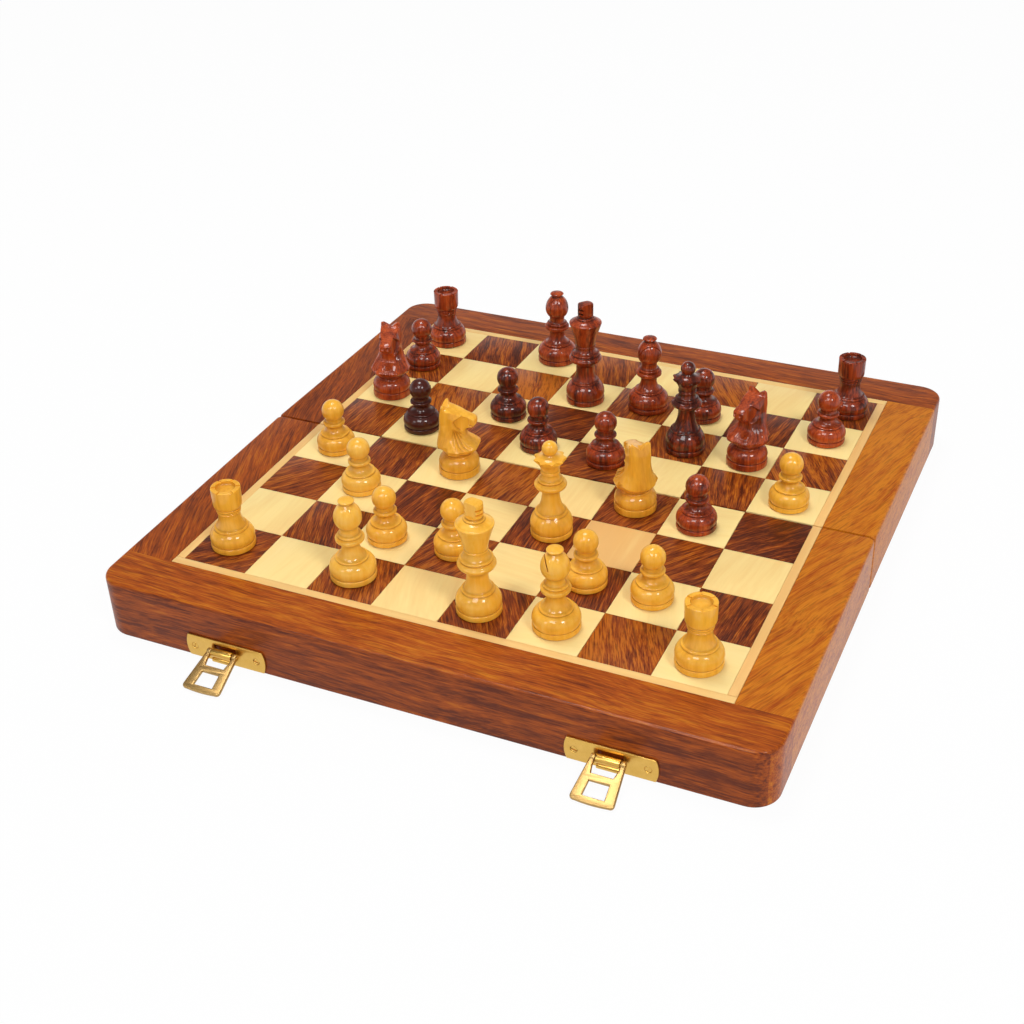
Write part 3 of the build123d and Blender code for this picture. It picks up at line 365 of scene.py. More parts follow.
# %% Sizes of the board
SQUARE = 31.2
FIELD = 4 * SQUARE
STRIP = 4.2
BORDER = 23.7
STRIP_OUTER = FIELD + STRIP
HALF_WIDTH = STRIP_OUTER + BORDER
CORNER = 11.5
TOP_ROUND = 1.4
BOTTOM_ROUND = 1.0
FOLD_GAP = 0.12
VENEER = 1.6
LEDGE = 4.0
LEDGE_TOP = -5.5
RIM = -BOARD_THICKNESS
INNER = STRIP_OUTER - LEDGE
JOINT = 0.2
print("each half is", round(2 * HALF_WIDTH, 1), "by", round(HALF_WIDTH, 1), "mm")

# %% [markdown]
# The border of each half is three rails with a rounded outer edge above and a smaller one below.
# A box with a bevel would round every edge alike, and here only the outside is rounded. So a
# rail is lofted: its outline is drawn at several heights, drawn in a little where the edge is
# round, and joined from one height to the next. The outer rail carries the two round corners.

# %% Loft outlines into a solid
def edge_levels():
    """Height and inset of a rail's outside, from its rim to the playing surface."""
    turns = [radians(a) for a in range(0, 91, 15)]
    levels = [(RIM + BOTTOM_ROUND * (1 - sin(a)), BOTTOM_ROUND * (1 - cos(a)))
              for a in reversed(turns)]
    levels.append((LEDGE_TOP - 0.01, 0.0))
    levels.append((LEDGE_TOP, 0.0))
    return levels + [(-TOP_ROUND * (1 - sin(a)), TOP_ROUND * (1 - cos(a))) for a in turns]


def loft(outlines):
    """Points and faces of a solid whose closed outlines, one above another, match by number."""
    points = [p for outline in outlines for p in outline]
    count = len(outlines[0])
    faces = [tuple(reversed(range(count)))]
    for k in range(len(outlines) - 1):
        low, high = k * count, (k + 1) * count
        faces += [(low + i, low + (i + 1) % count, high + (i + 1) % count, high + i)
                  for i in range(count)]
    faces.append(tuple(range(len(points) - count, len(points))))
    return points, faces


print("a rail is drawn at", len(edge_levels()), "heights")

# %% [markdown]
# Below a certain height the rails reach further in, as a ledge that carries the panel. So the
# outline has the same number of corners at every height, and only the inner ones move. A side
# rail is also rounded a little where it meets the other half at the fold.

# %% Outlines of the rails
END_ROUND = 1.6
START_ROUND = 0.3


def outer_rail_points():
    """Outlines of the rail with the round corners; low down it has a ledge for the panel."""
    outlines = []
    for z, inset in edge_levels():
        back = INNER if z < LEDGE_TOP else STRIP_OUTER
        x, y, corner = HALF_WIDTH - inset, HALF_WIDTH - inset, CORNER - inset
        outline = [(-x, STRIP_OUTER, z), (-STRIP_OUTER, STRIP_OUTER, z), (-STRIP_OUTER, back, z),
                   (STRIP_OUTER, back, z), (STRIP_OUTER, STRIP_OUTER, z), (x, STRIP_OUTER, z)]
        for quarter, centre in ((0, x - corner), (90, corner - x)):
            for step in range(13):
                a = radians(quarter + step * 7.5)
                outline.append((centre + corner * cos(a), y - corner + corner * sin(a), z))
        outlines.append(outline)
    return outlines


def side_rail_points(side):
    """Outlines of a side rail; its corner at the fold is rounded as well."""
    outlines = []
    for z, inset in edge_levels():
        back = INNER if z < LEDGE_TOP else STRIP_OUTER
        outer = HALF_WIDTH - inset
        start = FOLD_GAP / 2 + min(inset, START_ROUND)
        corner = [(outer - END_ROUND * (1 - sin(radians(a))),
                   start + END_ROUND * (1 - cos(radians(a)))) for a in range(0, 91, 15)]
        outline = [(back, start)] + corner + [(outer, STRIP_OUTER), (STRIP_OUTER, STRIP_OUTER),
                                              (STRIP_OUTER, back), (back, back)]
        outlines.append([(side * x, y, z) for x, y in outline])
    return outlines


print("outer rail:", len(outer_rail_points()[0]), "corners; side rail:",
      len(side_rail_points(1)[0]), "corners")

# %% [markdown]
# Each rail is cut from its own plank: some are paler, and the grain of the side rails runs across
# them at a slant. The outward face of an outer rail is painted darker than its top, as painted
# shade for the smaller amount of light that falls on it. Chance gives each piece its place in the
# plank, from a fixed seed, so that the board is the same every time.

# %% Lay the rails
rng = np.random.default_rng(7)
OUTER_RAIL_ANGLE = 2.0
RAIL_TONES = {("near", "outer"): 0.0, ("far", "outer"): -0.14,
              ("near", "left"): -0.12, ("near", "right"): 0.24,
              ("far", "left"): -0.18, ("far", "right"): 0.30}
# Painted shade: how much darker the outward face of an outer rail is made than its top.
OUTWARD_FACE_SHADE = -0.20
RAIL_ANGLES = {("near", "left"): 70, ("near", "right"): -66,
               ("far", "left"): 75, ("far", "right"): -72}
for half, place in decks.items():
    points, faces = loft(outer_rail_points())
    mesh = mesh_from("outer_rail", points, faces)
    # The faces that look outward get the painted shade.
    outward = np.array([face.normal.y > 0.7 for face in mesh.polygons])
    note_wood(mesh, RAIL_TONES[half, "outer"] + OUTWARD_FACE_SHADE * outward, OUTER_RAIL_ANGLE,
              rng.uniform(0, 1, 3))
    rail = finish_mesh(f"border_rail_{half}", mesh, border_wood, f"{half}_half",
                       [f"outer_rail_{half}"], place)
    for side in (-1, 1):
        hand = "right" if (side > 0) == (half == "far") else "left"
        points, faces = loft(side_rail_points(side))
        mesh = mesh_from("side_rail", points, faces)
        note_wood(mesh, RAIL_TONES[half, hand], RAIL_ANGLES[half, hand], rng.uniform(0, 1, 3))
        rail = finish_mesh(f"side_rail_{half}_{hand}", mesh, border_wood, f"{half}_half",
                           [f"side_rails_{half}"], place)
    print(half, "rails:", len(mesh.polygons), "faces on the last one")

# %% [markdown]
# The squares are veneer tiles, all of one size, with a hair of dark glue line between them. Each
# tile is a thin block whose upper edges are eased by a tenth of a millimetre, because that is
# what catches the light at a joint. All tiles of one colour on one half are one mesh, and each
# tile carries its own tone, grain angle and place in the plank.

# %% Tiles
EASE = 0.09


def tile(x_low, x_high, y_low, y_high, start):
    """Points and faces of one eased tile."""
    points = []
    for z, inset in ((-VENEER, 0), (-EASE, 0), (-EASE * 0.3, EASE * 0.3), (0, EASE)):
        points += [(x_low + inset, y_low + inset, z), (x_high - inset, y_low + inset, z),
                   (x_high - inset, y_high - inset, z), (x_low + inset, y_high - inset, z)]
    faces = [(3, 2, 1, 0)]
    for k in range(3):
        faces += [(4 * k + i, 4 * k + (i + 1) % 4, 4 * k + 4 + (i + 1) % 4, 4 * k + 4 + i)
                  for i in range(4)]
    faces.append((12, 13, 14, 15))
    return points, [tuple(start + i for i in face) for face in faces]


def tiles(name, boxes, finish, half, tones, angles):
    """One mesh of many tiles, with a tone and a grain angle for each."""
    points, faces, owner = [], [], []
    for number, bounds in enumerate(boxes):
        more_points, more_faces = tile(*bounds, len(points))
        points += more_points
        faces += more_faces
        owner += [number] * len(more_faces)
    mesh = mesh_from(name, points, faces)
    planks = rng.uniform(0, 1, (len(boxes), 3))
    note_wood(mesh, [tones[k] for k in owner], [angles[k] for k in owner],
              [planks[k] for k in owner])
    piece = finish_mesh(f"{name}_{half}", mesh, finish, f"{half}_half", [f"{name}_{half}"],
                        decks[half])


print("a tile has", len(tile(0, SQUARE, 0, SQUARE, 0)[1]), "faces")

# %% [markdown]
# A few squares stand out on the real board, because their veneer was paler or darker. They get a
# tone by name, and the rest get one by chance. The grain of the dark squares runs up and down the
# board at all sorts of slants, and that of the light ones runs either way. The pale strips frame
# the field.

# %% Squares and strips
DARK_SLANTS = [-34, -20, -10, 0, 8, 18, 40]
LIGHT_SLANTS = [-80, -10, 5, 75, 90]
SQUARE_TONES = {"c7": 0.34, "g1": 0.14, "d4": 0.16, "f8": 0.18, "h6": 0.12, "b6": 0.20,
                "c3": -0.16, "h2": -0.12, "h4": -0.20, "g7": -0.14, "d6": -0.18, "a3": 0.04,
                "f3": -0.42, "c6": -0.12}


def square_name(half, column, row):
    """File letter and rank of a tile, counted from White's left."""
    if half == "near":
        return "hgfedcba"[column] + str(4 - row)
    return "abcdefgh"[column] + str(5 + row)


for half in decks:
    for dark in (True, False):
        boxes, names = [], []
        for column in range(8):
            for row in range(4):
                if ((column + row) % 2 == 0) == dark:
                    x = column * SQUARE - FIELD
                    y = max(FOLD_GAP / 2, row * SQUARE + JOINT / 2)
                    boxes.append((x + JOINT / 2, x + SQUARE - JOINT / 2,
                                  y, (row + 1) * SQUARE - JOINT / 2))
                    names.append(square_name(half, column, row))
        count = len(boxes)
        spread = 0.08 if dark else 0.10
        tones = [SQUARE_TONES.get(n, float(rng.uniform(-spread, spread))) for n in names]
        if dark:
            tiles("dark_squares", boxes, dark_veneer, half, tones,
                  90 + rng.choice(DARK_SLANTS, count))
        else:
            tiles("light_squares", boxes, light_veneer, half, tones,
                  rng.choice(LIGHT_SLANTS, count))
    outer = STRIP_OUTER - JOINT
    side_tiles = [tuple(sorted((side * FIELD, side * outer))) + (FOLD_GAP / 2, FIELD - JOINT)
                  for side in (-1, 1)]
    tiles("inlay_strips", [(-outer, outer, FIELD, outer)] + side_tiles, light_veneer, half,
          [-0.30, -0.38, -0.34], [0, 90, 90])
    print(half, "squares laid:", ", ".join(names[:4]), "and so on")

# %% [markdown]
# Inside each half a sheet of foam covers the panel, and seven soft bars stand on it, with
# troughs between them for the men. Cut foam has slightly crowned faces and soft edges, so each
# bar is a block with rounded shoulders whose walls bulge a little. The bars and the sheet are
# one padded piece for each half.

# %% Foam insert
LINING = 2.0
LINING_BOTTOM = LEDGE_TOP - LINING
DIVIDER_END = RIM + 2.0
FOLD_RAIL = 11.0
FOAM_START = FOLD_GAP / 2 + FOLD_RAIL
TROUGH_ROOM = 0.5
PAWN_FOOT, WIDEST_FOOT = 9.0, 10.1
widths = [2 * (foot + TROUGH_ROOM) for foot in [PAWN_FOOT] + [WIDEST_FOOT] * 4 + [PAWN_FOOT]]
divider = (2 * INNER - sum(widths)) / (len(widths) + 1)


SHOULDER, BULGE = 1.5, 0.25


def foam_bar(x_low, x_high, y_low, y_high):
    """Outlines of a foam bar from the lining down to its soft lower edge."""
    outlines = []
    for step in range(13):
        share = step / 12
        z = LINING_BOTTOM + (DIVIDER_END - LINING_BOTTOM) * share
        depth = z - DIVIDER_END
        inset = 0.0
        if depth < SHOULDER:
            inset = SHOULDER - sqrt(max(0.0, SHOULDER ** 2 - (SHOULDER - depth) ** 2))
        inset += BULGE * (1 - sin(pi * min(1.0, share * 1.15)))
        outlines.append([(x_low + inset, y_low, z), (x_high - inset, y_low, z),
                         (x_high - inset, y_high, z), (x_low + inset, y_high, z)])
    return outlines


for half, place in decks.items():
    points, faces = [], []
    sheet = [[(x, y, z) for x, y in ((-INNER, FOAM_START), (INNER, FOAM_START),
                                     (INNER, INNER), (-INNER, INNER))]
             for z in (LINING_BOTTOM, LEDGE_TOP)]
    x = -INNER
    blocks = [sheet]
    for width in widths + [0]:
        blocks.append(foam_bar(x, x + divider, FOAM_START, INNER))
        x += divider + width
    for block in blocks:
        more_points, more_faces = loft(block)
        faces += [tuple(len(points) + i for i in face) for face in more_faces]
        points += more_points
    mesh = mesh_from("foam_insert", points, faces)
    insert = finish_mesh(f"foam_insert_{half}", mesh, foam, f"{half}_half",
                         [f"foam_insert_{half}"], place, sharp=60)
    print(half, "foam insert:", len(mesh.polygons), "faces")

# %% [markdown]
# The men are turned on a lathe, so each is an outline spun round its axis. The outline is told
# the way a turner would: from the foot up, each step says the radius to reach, how far to rise
# and how much the cut bulges (or hollows, if negative). Arcs give the domes and collars, and
# every sharp corner is eased a little so that it shows a highlight, as sanding does.

# %% Turn an outline
FELT = 0.3
EASING, SIDES = 0.16, 112


def turned(steps):
    """Points of an outline in radius and height, from the axis at the foot to the axis on top."""
    points = [(0.0, FELT)]
    radius, height = 0.0, FELT
    for next_radius, rise, bow in steps:
        start, end = Vector((radius, height)), Vector((next_radius, height + rise))
        chord = end - start
        if abs(bow) > 0.01:
            out = Vector((chord.y, -chord.x)).normalized() * (1 if bow > 0 else -1)
            bulge = abs(bow)
            arc_radius = (chord.length ** 2 / 4 + bulge ** 2) / (2 * bulge)
            centre = (start + end) / 2 - out * (arc_radius - bulge)
            a, b = start - centre, end - centre
            sweep = 2 * asin(min(1.0, chord.length / 2 / arc_radius))
            count = max(4, int(degrees(sweep) / 6), int(chord.length / 0.7))
            turn = sweep / count * (1 if a.cross(b) > 0 else -1)
            for k in range(1, count):
                c, s = cos(turn * k), sin(turn * k)
                points.append((centre.x + a.x * c - a.y * s, centre.y + a.x * s + a.y * c))
        radius, height = end
        points.append((radius, height))
    if points[-1][0] > 0:
        points.append((0.0, points[-1][1]))
    return points


print("a plain dome is drawn with", len(turned([(5, 0, 0), (0, 5, 1.5)])), "points")

# %% [markdown]
# The outline is then eased at its corners and spun. Where it meets the axis, its points are one,
# and the faces there are triangles. Everywhere else they are quads.

# %% Ease and spin an outline
def eased(points, amount):
    """Cuts each sharp corner of an outline back to a small round."""
    smooth = [points[0]]
    for before, corner, after in zip(points, points[1:], points[2:]):
        p, c, n = Vector(before), Vector(corner), Vector(after)
        a, b = p - c, n - c
        if a.length < 1e-6 or b.length < 1e-6:
            continue
        bend = 180 - degrees(a.angle(b))
        if bend < 18:
            smooth.append(corner)
            continue
        back = min(amount, a.length * 0.45, b.length * 0.45)
        first, last = c + a.normalized() * back, c + b.normalized() * back
        for t in (0.0, 0.33, 0.67, 1.0):
            smooth.append(tuple(first.lerp(c, t).lerp(c.lerp(last, t), t)))
    return smooth + [points[-1]]


def spun(points, sides):
    """Points and faces of an outline spun round the axis."""
    spots, faces, rings = [], [], []
    for radius, height in points:
        start = len(spots)
        if radius < 1e-5:
            rings.append([start] * sides)
            spots.append((0.0, 0.0, height))
            continue
        rings.append(list(range(start, start + sides)))
        spots += [(radius * cos(2 * pi * k / sides), radius * sin(2 * pi * k / sides), height)
                  for k in range(sides)]
    for low, high in zip(rings, rings[1:]):
        for i in range(sides):
            j = (i + 1) % sides
            face = list(dict.fromkeys((low[i], low[j], high[j], high[i])))
            if len(face) > 2:
                faces.append(tuple(face))
    return spots, faces


print("a plain peg has", len(spun(turned([(2, 0, 0), (2, 9, 0)]), SIDES)[1]), "faces")

# %% [markdown]
# All the men share some forms. Every one stands on the same kind of foot, with a groove, a dome
# and a ledge, and the queen and the pawn both end in a ball. Such forms are written once, and each
# man's list of steps goes on from there.

# %% Forms that the men share
def pedestal(foot, foot_height, dome_height, ledge, ledge_height, dome_bow):
    """Foot disc, groove, dome and ledge, which every man has."""
    return [(foot, 0, 0), (foot, foot_height, 0.12), (foot - 0.45, 0.2, 0),
            (foot - 0.3, 0.25, 0), (ledge, dome_height, dome_bow),
            (ledge - 0.2, ledge_height, 0.35), (ledge - 0.85, 0.15, 0)]


def ball(neck, radius):
    """A ball on a neck."""
    rise = sqrt(radius ** 2 - neck ** 2)
    run = radius - neck
    chord = hypot(run, rise)
    whole = chord ** 2 / (2 * run)
    return [(radius, rise, whole - sqrt(whole ** 2 - chord ** 2 / 4)),
            (0, radius, radius * (1 - sqrt(0.5)))]


def swell(start, end, rise):
    """Bulge of an arc that stands upright at the larger radius."""
    chord = hypot(end - start, rise)
    whole = chord ** 2 / (2 * abs(end - start))
    return whole - sqrt(whole ** 2 - chord ** 2 / 4)


print("a pawn's ball takes", len(ball(3.9, 5.4)), "steps")

# %% [markdown]
# Each man is then a list of steps: radius to reach, rise, bulge. The king, the queen and the
# bishop have a collar of three rings half way up, and the rook's cup is turned out on top.

# %% Steps of each man
STEPS = {
    "king": pedestal(9.7, 2.4, 7.7, 6.9, 1.0, 1.35) + [
        (4.6, 6.6, -0.45), (4.6, 1.6, 0), (7.3, 2.4, -0.35), (8.1, 1.2, 0.15), (7.9, 1.0, 0.2),
        (7.0, 1.0, 0.2), (6.6, 0.35, -0.12), (6.8, 1.25, 0.40), (5.9, 0.3, -0.1),
        (4.9, 2.9, -0.35), (4.9, 0.6, 0.25), (4.8, 0.1, 0), (8.05, 11.6, -0.25), (8.05, 0.7, 0.1),
        (7.4, 0.35, 0.08), (4.3, 1.6, 0.25), (4.2, 0.7, 0.2), (3.4, 0.15, 0), (3.4, 0.5, 0),
        (3.9, 0.9, 0.1), (3.9, 5.2, 0), (3.3, 0.6, 0.15), (0, 0.2, 0)],
    "queen": pedestal(9.4, 2.4, 7.9, 7.1, 1.0, 1.3) + [
        (3.9, 8.4, -0.5), (3.9, 2.2, 0), (6.6, 1.6, -0.3), (7.2, 1.2, 0.15), (6.9, 0.8, 0.15),
        (5.6, 0.9, 0.1), (5.2, 0.3, -0.1), (5.4, 1.0, 0.38), (4.7, 0.2, 0), (4.0, 2.6, -0.25),
        (4.0, 0.7, 0.3), (4.0, 0.7, 0.3), (4.0, 0.2, 0), (7.2, 5.4, -0.6), (7.2, 0.5, 0.05),
        (6.6, 0.1, 0), (3.0, 1.6, -0.35), (2.6, 0.5, 0)] + ball(2.6, 3.5),
    "bishop": pedestal(10.1, 2.3, 6.8, 7.0, 0.9, 1.6) + [
        (4.0, 4.6, -0.5), (4.0, 1.6, 0), (5.9, 1.6, -0.25), (6.3, 1.1, 0.2), (5.9, 0.9, 0.25),
        (4.8, 0.4, -0.1), (5.1, 1.1, 0.4), (4.3, 0.2, 0), (3.9, 1.6, -0.15), (3.9, 1.5, 0),
        (6.1, 4.7, swell(3.9, 6.1, 4.7)), (2.7, 6.8, swell(2.7, 6.1, 6.8)), (3.45, 1.1, -0.15),
        (3.5, 0.3, 0.05), (2.8, 0.45, 0.12), (0, 0.3, 0.08)],
    "rook": pedestal(9.9, 2.4, 6.4, 7.4, 1.0, 1.3) + [
        (4.95, 5.6, -0.35), (4.95, 0.9, 0), (5.3, 0.7, 0), (5.1, 0.15, 0), (5.5, 0.9, 0.15),
        (5.2, 0.15, 0), (5.7, 0.9, 0.15), (5.4, 0.15, 0), (6.5, 2.3, 0.25), (6.6, 7.5, 0),
        (6.2, 0.3, 0.1), (4.5, 0, 0), (4.1, -1.6, -0.2), (2.0, -0.3, 0)],
    "pawn": pedestal(9.0, 2.1, 6.1, 6.8, 0.9, 1.35) + [
        (3.8, 2.9, -0.6), (4.0, 0.4, 0), (5.0, 0.9, -0.1), (5.3, 0.7, 0.12), (5.0, 0.7, 0.12),
        (4.1, 0.3, 0), (3.9, 1.6, 0)] + ball(3.9, 5.4),
    "knight": [(9.7, 0, 0), (9.7, 3.2, 0.12), (9.2, 0.2, 0), (9.35, 0.25, 0), (6.9, 6.0, 1.25),
               (6.4, 0.5, 0.1), (6.4, 1.6, 0)],
}
for kind, steps in STEPS.items():
    print(kind, "is", round(FELT + sum(rise for _, rise, _ in steps), 2), "mm tall as turned")

# %% [markdown]
# Lathe work can't cut a slit, a notch or a flat. Those are sawn after turning, and here too: a
# cutter of plain blocks or round posts takes wood away with a Boolean. The exact solver is slower
# than the fast one, but it keeps thin slits clean.

# %% Cutters
def block(centre, size, tilt=0.0):
    """Points and faces of a cutter block, in millimetres, tilted about Y."""
    turn = Matrix.Rotation(tilt, 3, "Y")
    corners = [(x, y, z) for z in (-1, 1) for x, y in ((-1, -1), (1, -1), (1, 1), (-1, 1))]
    points = [tuple(turn @ Vector(c[i] * size[i] / 2 for i in range(3)) + Vector(centre))
              for c in corners]
    faces = [(3, 2, 1, 0), (4, 5, 6, 7)] + [(i, (i + 1) % 4, 4 + (i + 1) % 4, 4 + i)
                                            for i in range(4)]
    return points, faces


def post(centre, radius, z_low, z_high, sides=48):
    """Points and faces of an upright round cutter."""
    points = [(centre[0] + radius * cos(2 * pi * k / sides),
               centre[1] + radius * sin(2 * pi * k / sides), z)
              for z in (z_low, z_high) for k in range(sides)]
    faces = [tuple(reversed(range(sides))), tuple(range(sides, 2 * sides))]
    faces += [(i, (i + 1) % sides, sides + (i + 1) % sides, sides + i) for i in range(sides)]
    return points, faces


def carve(mesh, cutters):
    """The mesh with the cutters taken out of it."""
    blank = into_scene("blank", mesh)
    knives = []
    for points, faces in cutters:
        knife = into_scene("knife", mesh_from("knife", points, faces))
        knives.append(knife)
        cut = blank.modifiers.new("cut", "BOOLEAN")
        cut.operation, cut.solver, cut.object = "DIFFERENCE", "EXACT", knife
    bpy.context.view_layer.update()
    result = bpy.data.meshes.new_from_object(
        blank.evaluated_get(bpy.context.evaluated_depsgraph_get()))
    for thing in [blank] + knives:
        bpy.data.objects.remove(thing)
    return result


print("a post cutter has", len(post((0, 0), 1, 0, 1)[1]), "faces")

# %% [markdown]
# The king's finial gets two flats and two slots in each side, the queen's crown gets nine
# scallops, the bishop a thin steep slit, and the rook six short cuts in its rim. Each cut is
# placed from the height of the step that it belongs to.

# %% Cuts of each man
def level(kind, count):
    """Height reached after so many steps of a man's outline."""
    return FELT + sum(rise for _, rise, _ in STEPS[kind][:count])


def king_cutters():
    """Two flats on the finial, and two slots above each other in each of its other sides."""
    low = level("king", 27)
    cutters = []
    for side in (-1, 1):
        cutters.append(block((0, side * 4.6, low + 2.8), (12, 4.0, 6.6)))
        for rise in (1.2, 3.3):
            cutters.append(block((side * 4.1, 0, low + rise), (3.4, 12, 0.8)))
    return cutters


def queen_cutters():
    """Round posts about the crown, which leave a point between each two."""
    low, away, points = level("queen", 20) + 2.0, 9.1, 9
    return [post((away * cos(2 * pi * k / points), away * sin(2 * pi * k / points)), 3.0,
                 low, low + 7) for k in range(points)]


def bishop_cutters():
    """One thin slit, steep in the mitre."""
    low = level("bishop", 18) + 3.2
    return [block((3.6, 0, low), (5.2, 12, 0.5), radians(-75))]


def rook_cutters():
    """Three blocks across the rim, which make six cuts."""
    top = level("rook", 18)
    cutters = []
    for k in range(3):
        points, faces = block((0, 0, top), (15, 0.8, 1.0))
        turn = Matrix.Rotation(radians(30 + 60 * k), 3, "Z")
        cutters.append(([tuple(turn @ Vector(p)) for p in points], faces))
    return cutters


CUTTERS = {"king": king_cutters, "queen": queen_cutters, "bishop": bishop_cutters,
           "rook": rook_cutters}
print("cuts:", {kind: len(cuts()) for kind, cuts in CUTTERS.items()})

# %% [markdown]
# Shade falls in grooves, and here it is painted in. A shader could look for hollows by itself, but
# only some renderers can, so the mesh says it: each point notes how deep it lies below the smoothed
# outline, and the wood finish paints it darker there, as painted shade.

# %% Where painted shade darkens the grooves
def hollows(points, spread=0.6, full=0.28, step=0.1):
    """Samples along an outline that say how deep each lies in a groove, from 0 to 1."""
    line = np.array(points, float)
    along = np.concatenate(([0], np.cumsum(np.hypot(*np.diff(line, axis=0).T))))
    places = np.arange(0, along[-1], step)
    even = np.stack([np.interp(places, along, line[:, k]) for k in (0, 1)], axis=1)
    reach = np.arange(-int(3 * spread / step), int(3 * spread / step) + 1)
    weight = np.exp(-(reach * step / spread) ** 2 / 2)
    weight /= weight.sum()
    padded = np.pad(even, ((len(reach) // 2,) * 2, (0, 0)), mode="edge")
    smooth = np.stack([np.convolve(padded[:, k], weight, "valid") for k in (0, 1)], axis=1)
    way = np.gradient(even, axis=0)
    outward = np.stack([way[:, 1], -way[:, 0]], axis=1)
    outward /= np.maximum(np.hypot(*outward.T), 1e-9)[:, None]
    depth = ((smooth - even) * outward).sum(1)
    return even, np.clip(depth / full, 0, 1)


def nearest_values(spots, outline):
    """For each place in radius and height, how deep the nearest part of the outline lies."""
    samples, values = hollows(outline)
    return values[[int(np.argmin(((samples - spot) ** 2).sum(1))) for spot in spots]]


def mark_hollows(mesh, outline):
    """Notes on each point of a turned man how deep it lies in a groove."""
    spots = np.empty(len(mesh.vertices) * 3, np.float32)
    mesh.vertices.foreach_get("co", spots)
    spots = spots.reshape(-1, 3) / MM
    flat = np.stack([np.hypot(spots[:, 0], spots[:, 1]), spots[:, 2]], axis=1)
    note(mesh, "hollow", nearest_values(np.round(flat, 2), outline), domain="POINT")


# A test peg shows how dark the painted shade gets at a groove.
peg = turned([(5, 0, 0), (5, 4, 0), (4, 0.3, 0), (5, 0.3, 0), (5, 4, 0)])
print("a grooved peg is shaded to", round(float(hollows(peg)[1].max()), 2), "at its groove")

# %% [markdown]
# A blank is one man of a kind, turned and sawn. It is made once and copied for each man of that
# kind. The knight's base is only turned here, and its head is carved in the next steps.

# %% Turn and saw the blanks
outlines = {kind: eased(turned(steps), EASING) for kind, steps in STEPS.items()}
blanks = {}
for kind, outline in outlines.items():
    if kind == "knight":
        continue
    blanks[kind] = mesh_from(kind, *spun(outline, SIDES))
    if kind in CUTTERS:
        blanks[kind] = carve(blanks[kind], CUTTERS[kind]())
    mark_hollows(blanks[kind], outline)
    print(kind, "blank has", len(blanks[kind].polygons), "faces")

# %% [markdown]
# The knight's head is carved, and a lathe is no help. It could be pushed out of a block with
# sculpting brushes, but code is better at measuring: for each spot of the side view, say how
# thick the head is there. The outline gives the shape, rounding its rim gives the form, and
# grooves, eye, nostril and mouth are places where the thickness dips. A grid of such numbers is
# turned into a skin where the value crosses zero: each cell of the grid that the skin passes
# through gets one point, and the points of neighbouring cells are joined.

# %% Skin of a carved shape
def skin(field, low, step):
    """Points and faces where a grid of values crosses zero: one point in each crossed cell."""
    total = np.zeros([n - 1 for n in field.shape] + [3])
    hits = np.zeros([n - 1 for n in field.shape])
    crossings = []
    for axis in range(3):
        a = np.take(field, range(field.shape[axis] - 1), axis)
        b = np.take(field, range(1, field.shape[axis]), axis)
        crossed = (a < 0) != (b < 0)
        crossings.append((crossed, a < 0))
        share = np.where(crossed, a / np.where(crossed, a - b, 1), 0)
        others = [k for k in range(3) if k != axis]
        for first in (0, 1):
            for second in (0, 1):
                cut = [slice(None)] * 3
                cut[others[0]] = slice(first, field.shape[others[0]] - 1 + first)
                cut[others[1]] = slice(second, field.shape[others[1]] - 1 + second)
                here = crossed[tuple(cut)]
                total[..., axis] += np.where(here, share[tuple(cut)], 0)
                total[..., others[0]] += np.where(here, first, 0)
                total[..., others[1]] += np.where(here, second, 0)
                hits += here
    cells = np.argwhere(hits > 0)
    number = -np.ones(hits.shape, int)
    number[tuple(cells.T)] = np.arange(len(cells))
    spots = cells + total[tuple(cells.T)] / hits[tuple(cells.T)][:, None]
    faces = []
    for axis, (crossed, inside) in enumerate(crossings):
        others = [k for k in range(3) if k != axis]
        for cell in np.argwhere(crossed):
            if min(cell[others[0]], cell[others[1]]) < 1:
                continue
            corners = []
            for first, second in ((0, 0), (1, 0), (1, 1), (0, 1)):
                spot = cell.copy()
                spot[others[0]] -= first
                spot[others[1]] -= second
                corners.append(number[tuple(spot)])
            if min(corners) >= 0:
                faces.append(tuple(corners))
    return [tuple(low + s * step) for s in spots], faces


bubble = np.fromfunction(lambda x, y, z: np.hypot(np.hypot(x - 4, y - 4), z - 4) - 3.1, (9, 9, 9))
print("the skin of a small ball has", len(skin(bubble, np.zeros(3), 1.0)[1]), "faces")

# %% [markdown]
# The side view is drawn with a few points, and a smooth line goes through them. What the carving
# needs to know about a line is how far each spot is from it, and which spots it has inside.

# %% Lines in the side view
def curve_through(points, per=8, closed=True):
    """A smooth line through the points."""
    p = np.array(points, float)
    n = len(p)
    line = []
    for k in range(n if closed else n - 1):
        a, b, c, d = (p[(k + j) % n] if closed else p[min(max(k + j, 0), n - 1)]
                      for j in (-1, 0, 1, 2))
        for t in np.arange(per) / per:
            line.append(0.5 * (2 * b + (c - a) * t + (2 * a - 5 * b + 4 * c - d) * t ** 2
                               + (3 * b - a - 3 * c + d) * t ** 3))
    return np.array(line if closed else line + [p[-1]])


def distance_to(line, u, z, closed=False):
    """Distance from each place of the side view to a line."""
    best = np.full(u.shape, 1e9)
    ends = np.roll(line, -1, axis=0) if closed else line[1:]
    for a, b in zip(line, ends):
        d = b - a
        t = np.clip(((u - a[0]) * d[0] + (z - a[1]) * d[1]) / max(d @ d, 1e-9), 0, 1)
        best = np.minimum(best, np.hypot(u - a[0] - t * d[0], z - a[1] - t * d[1]))
    return best


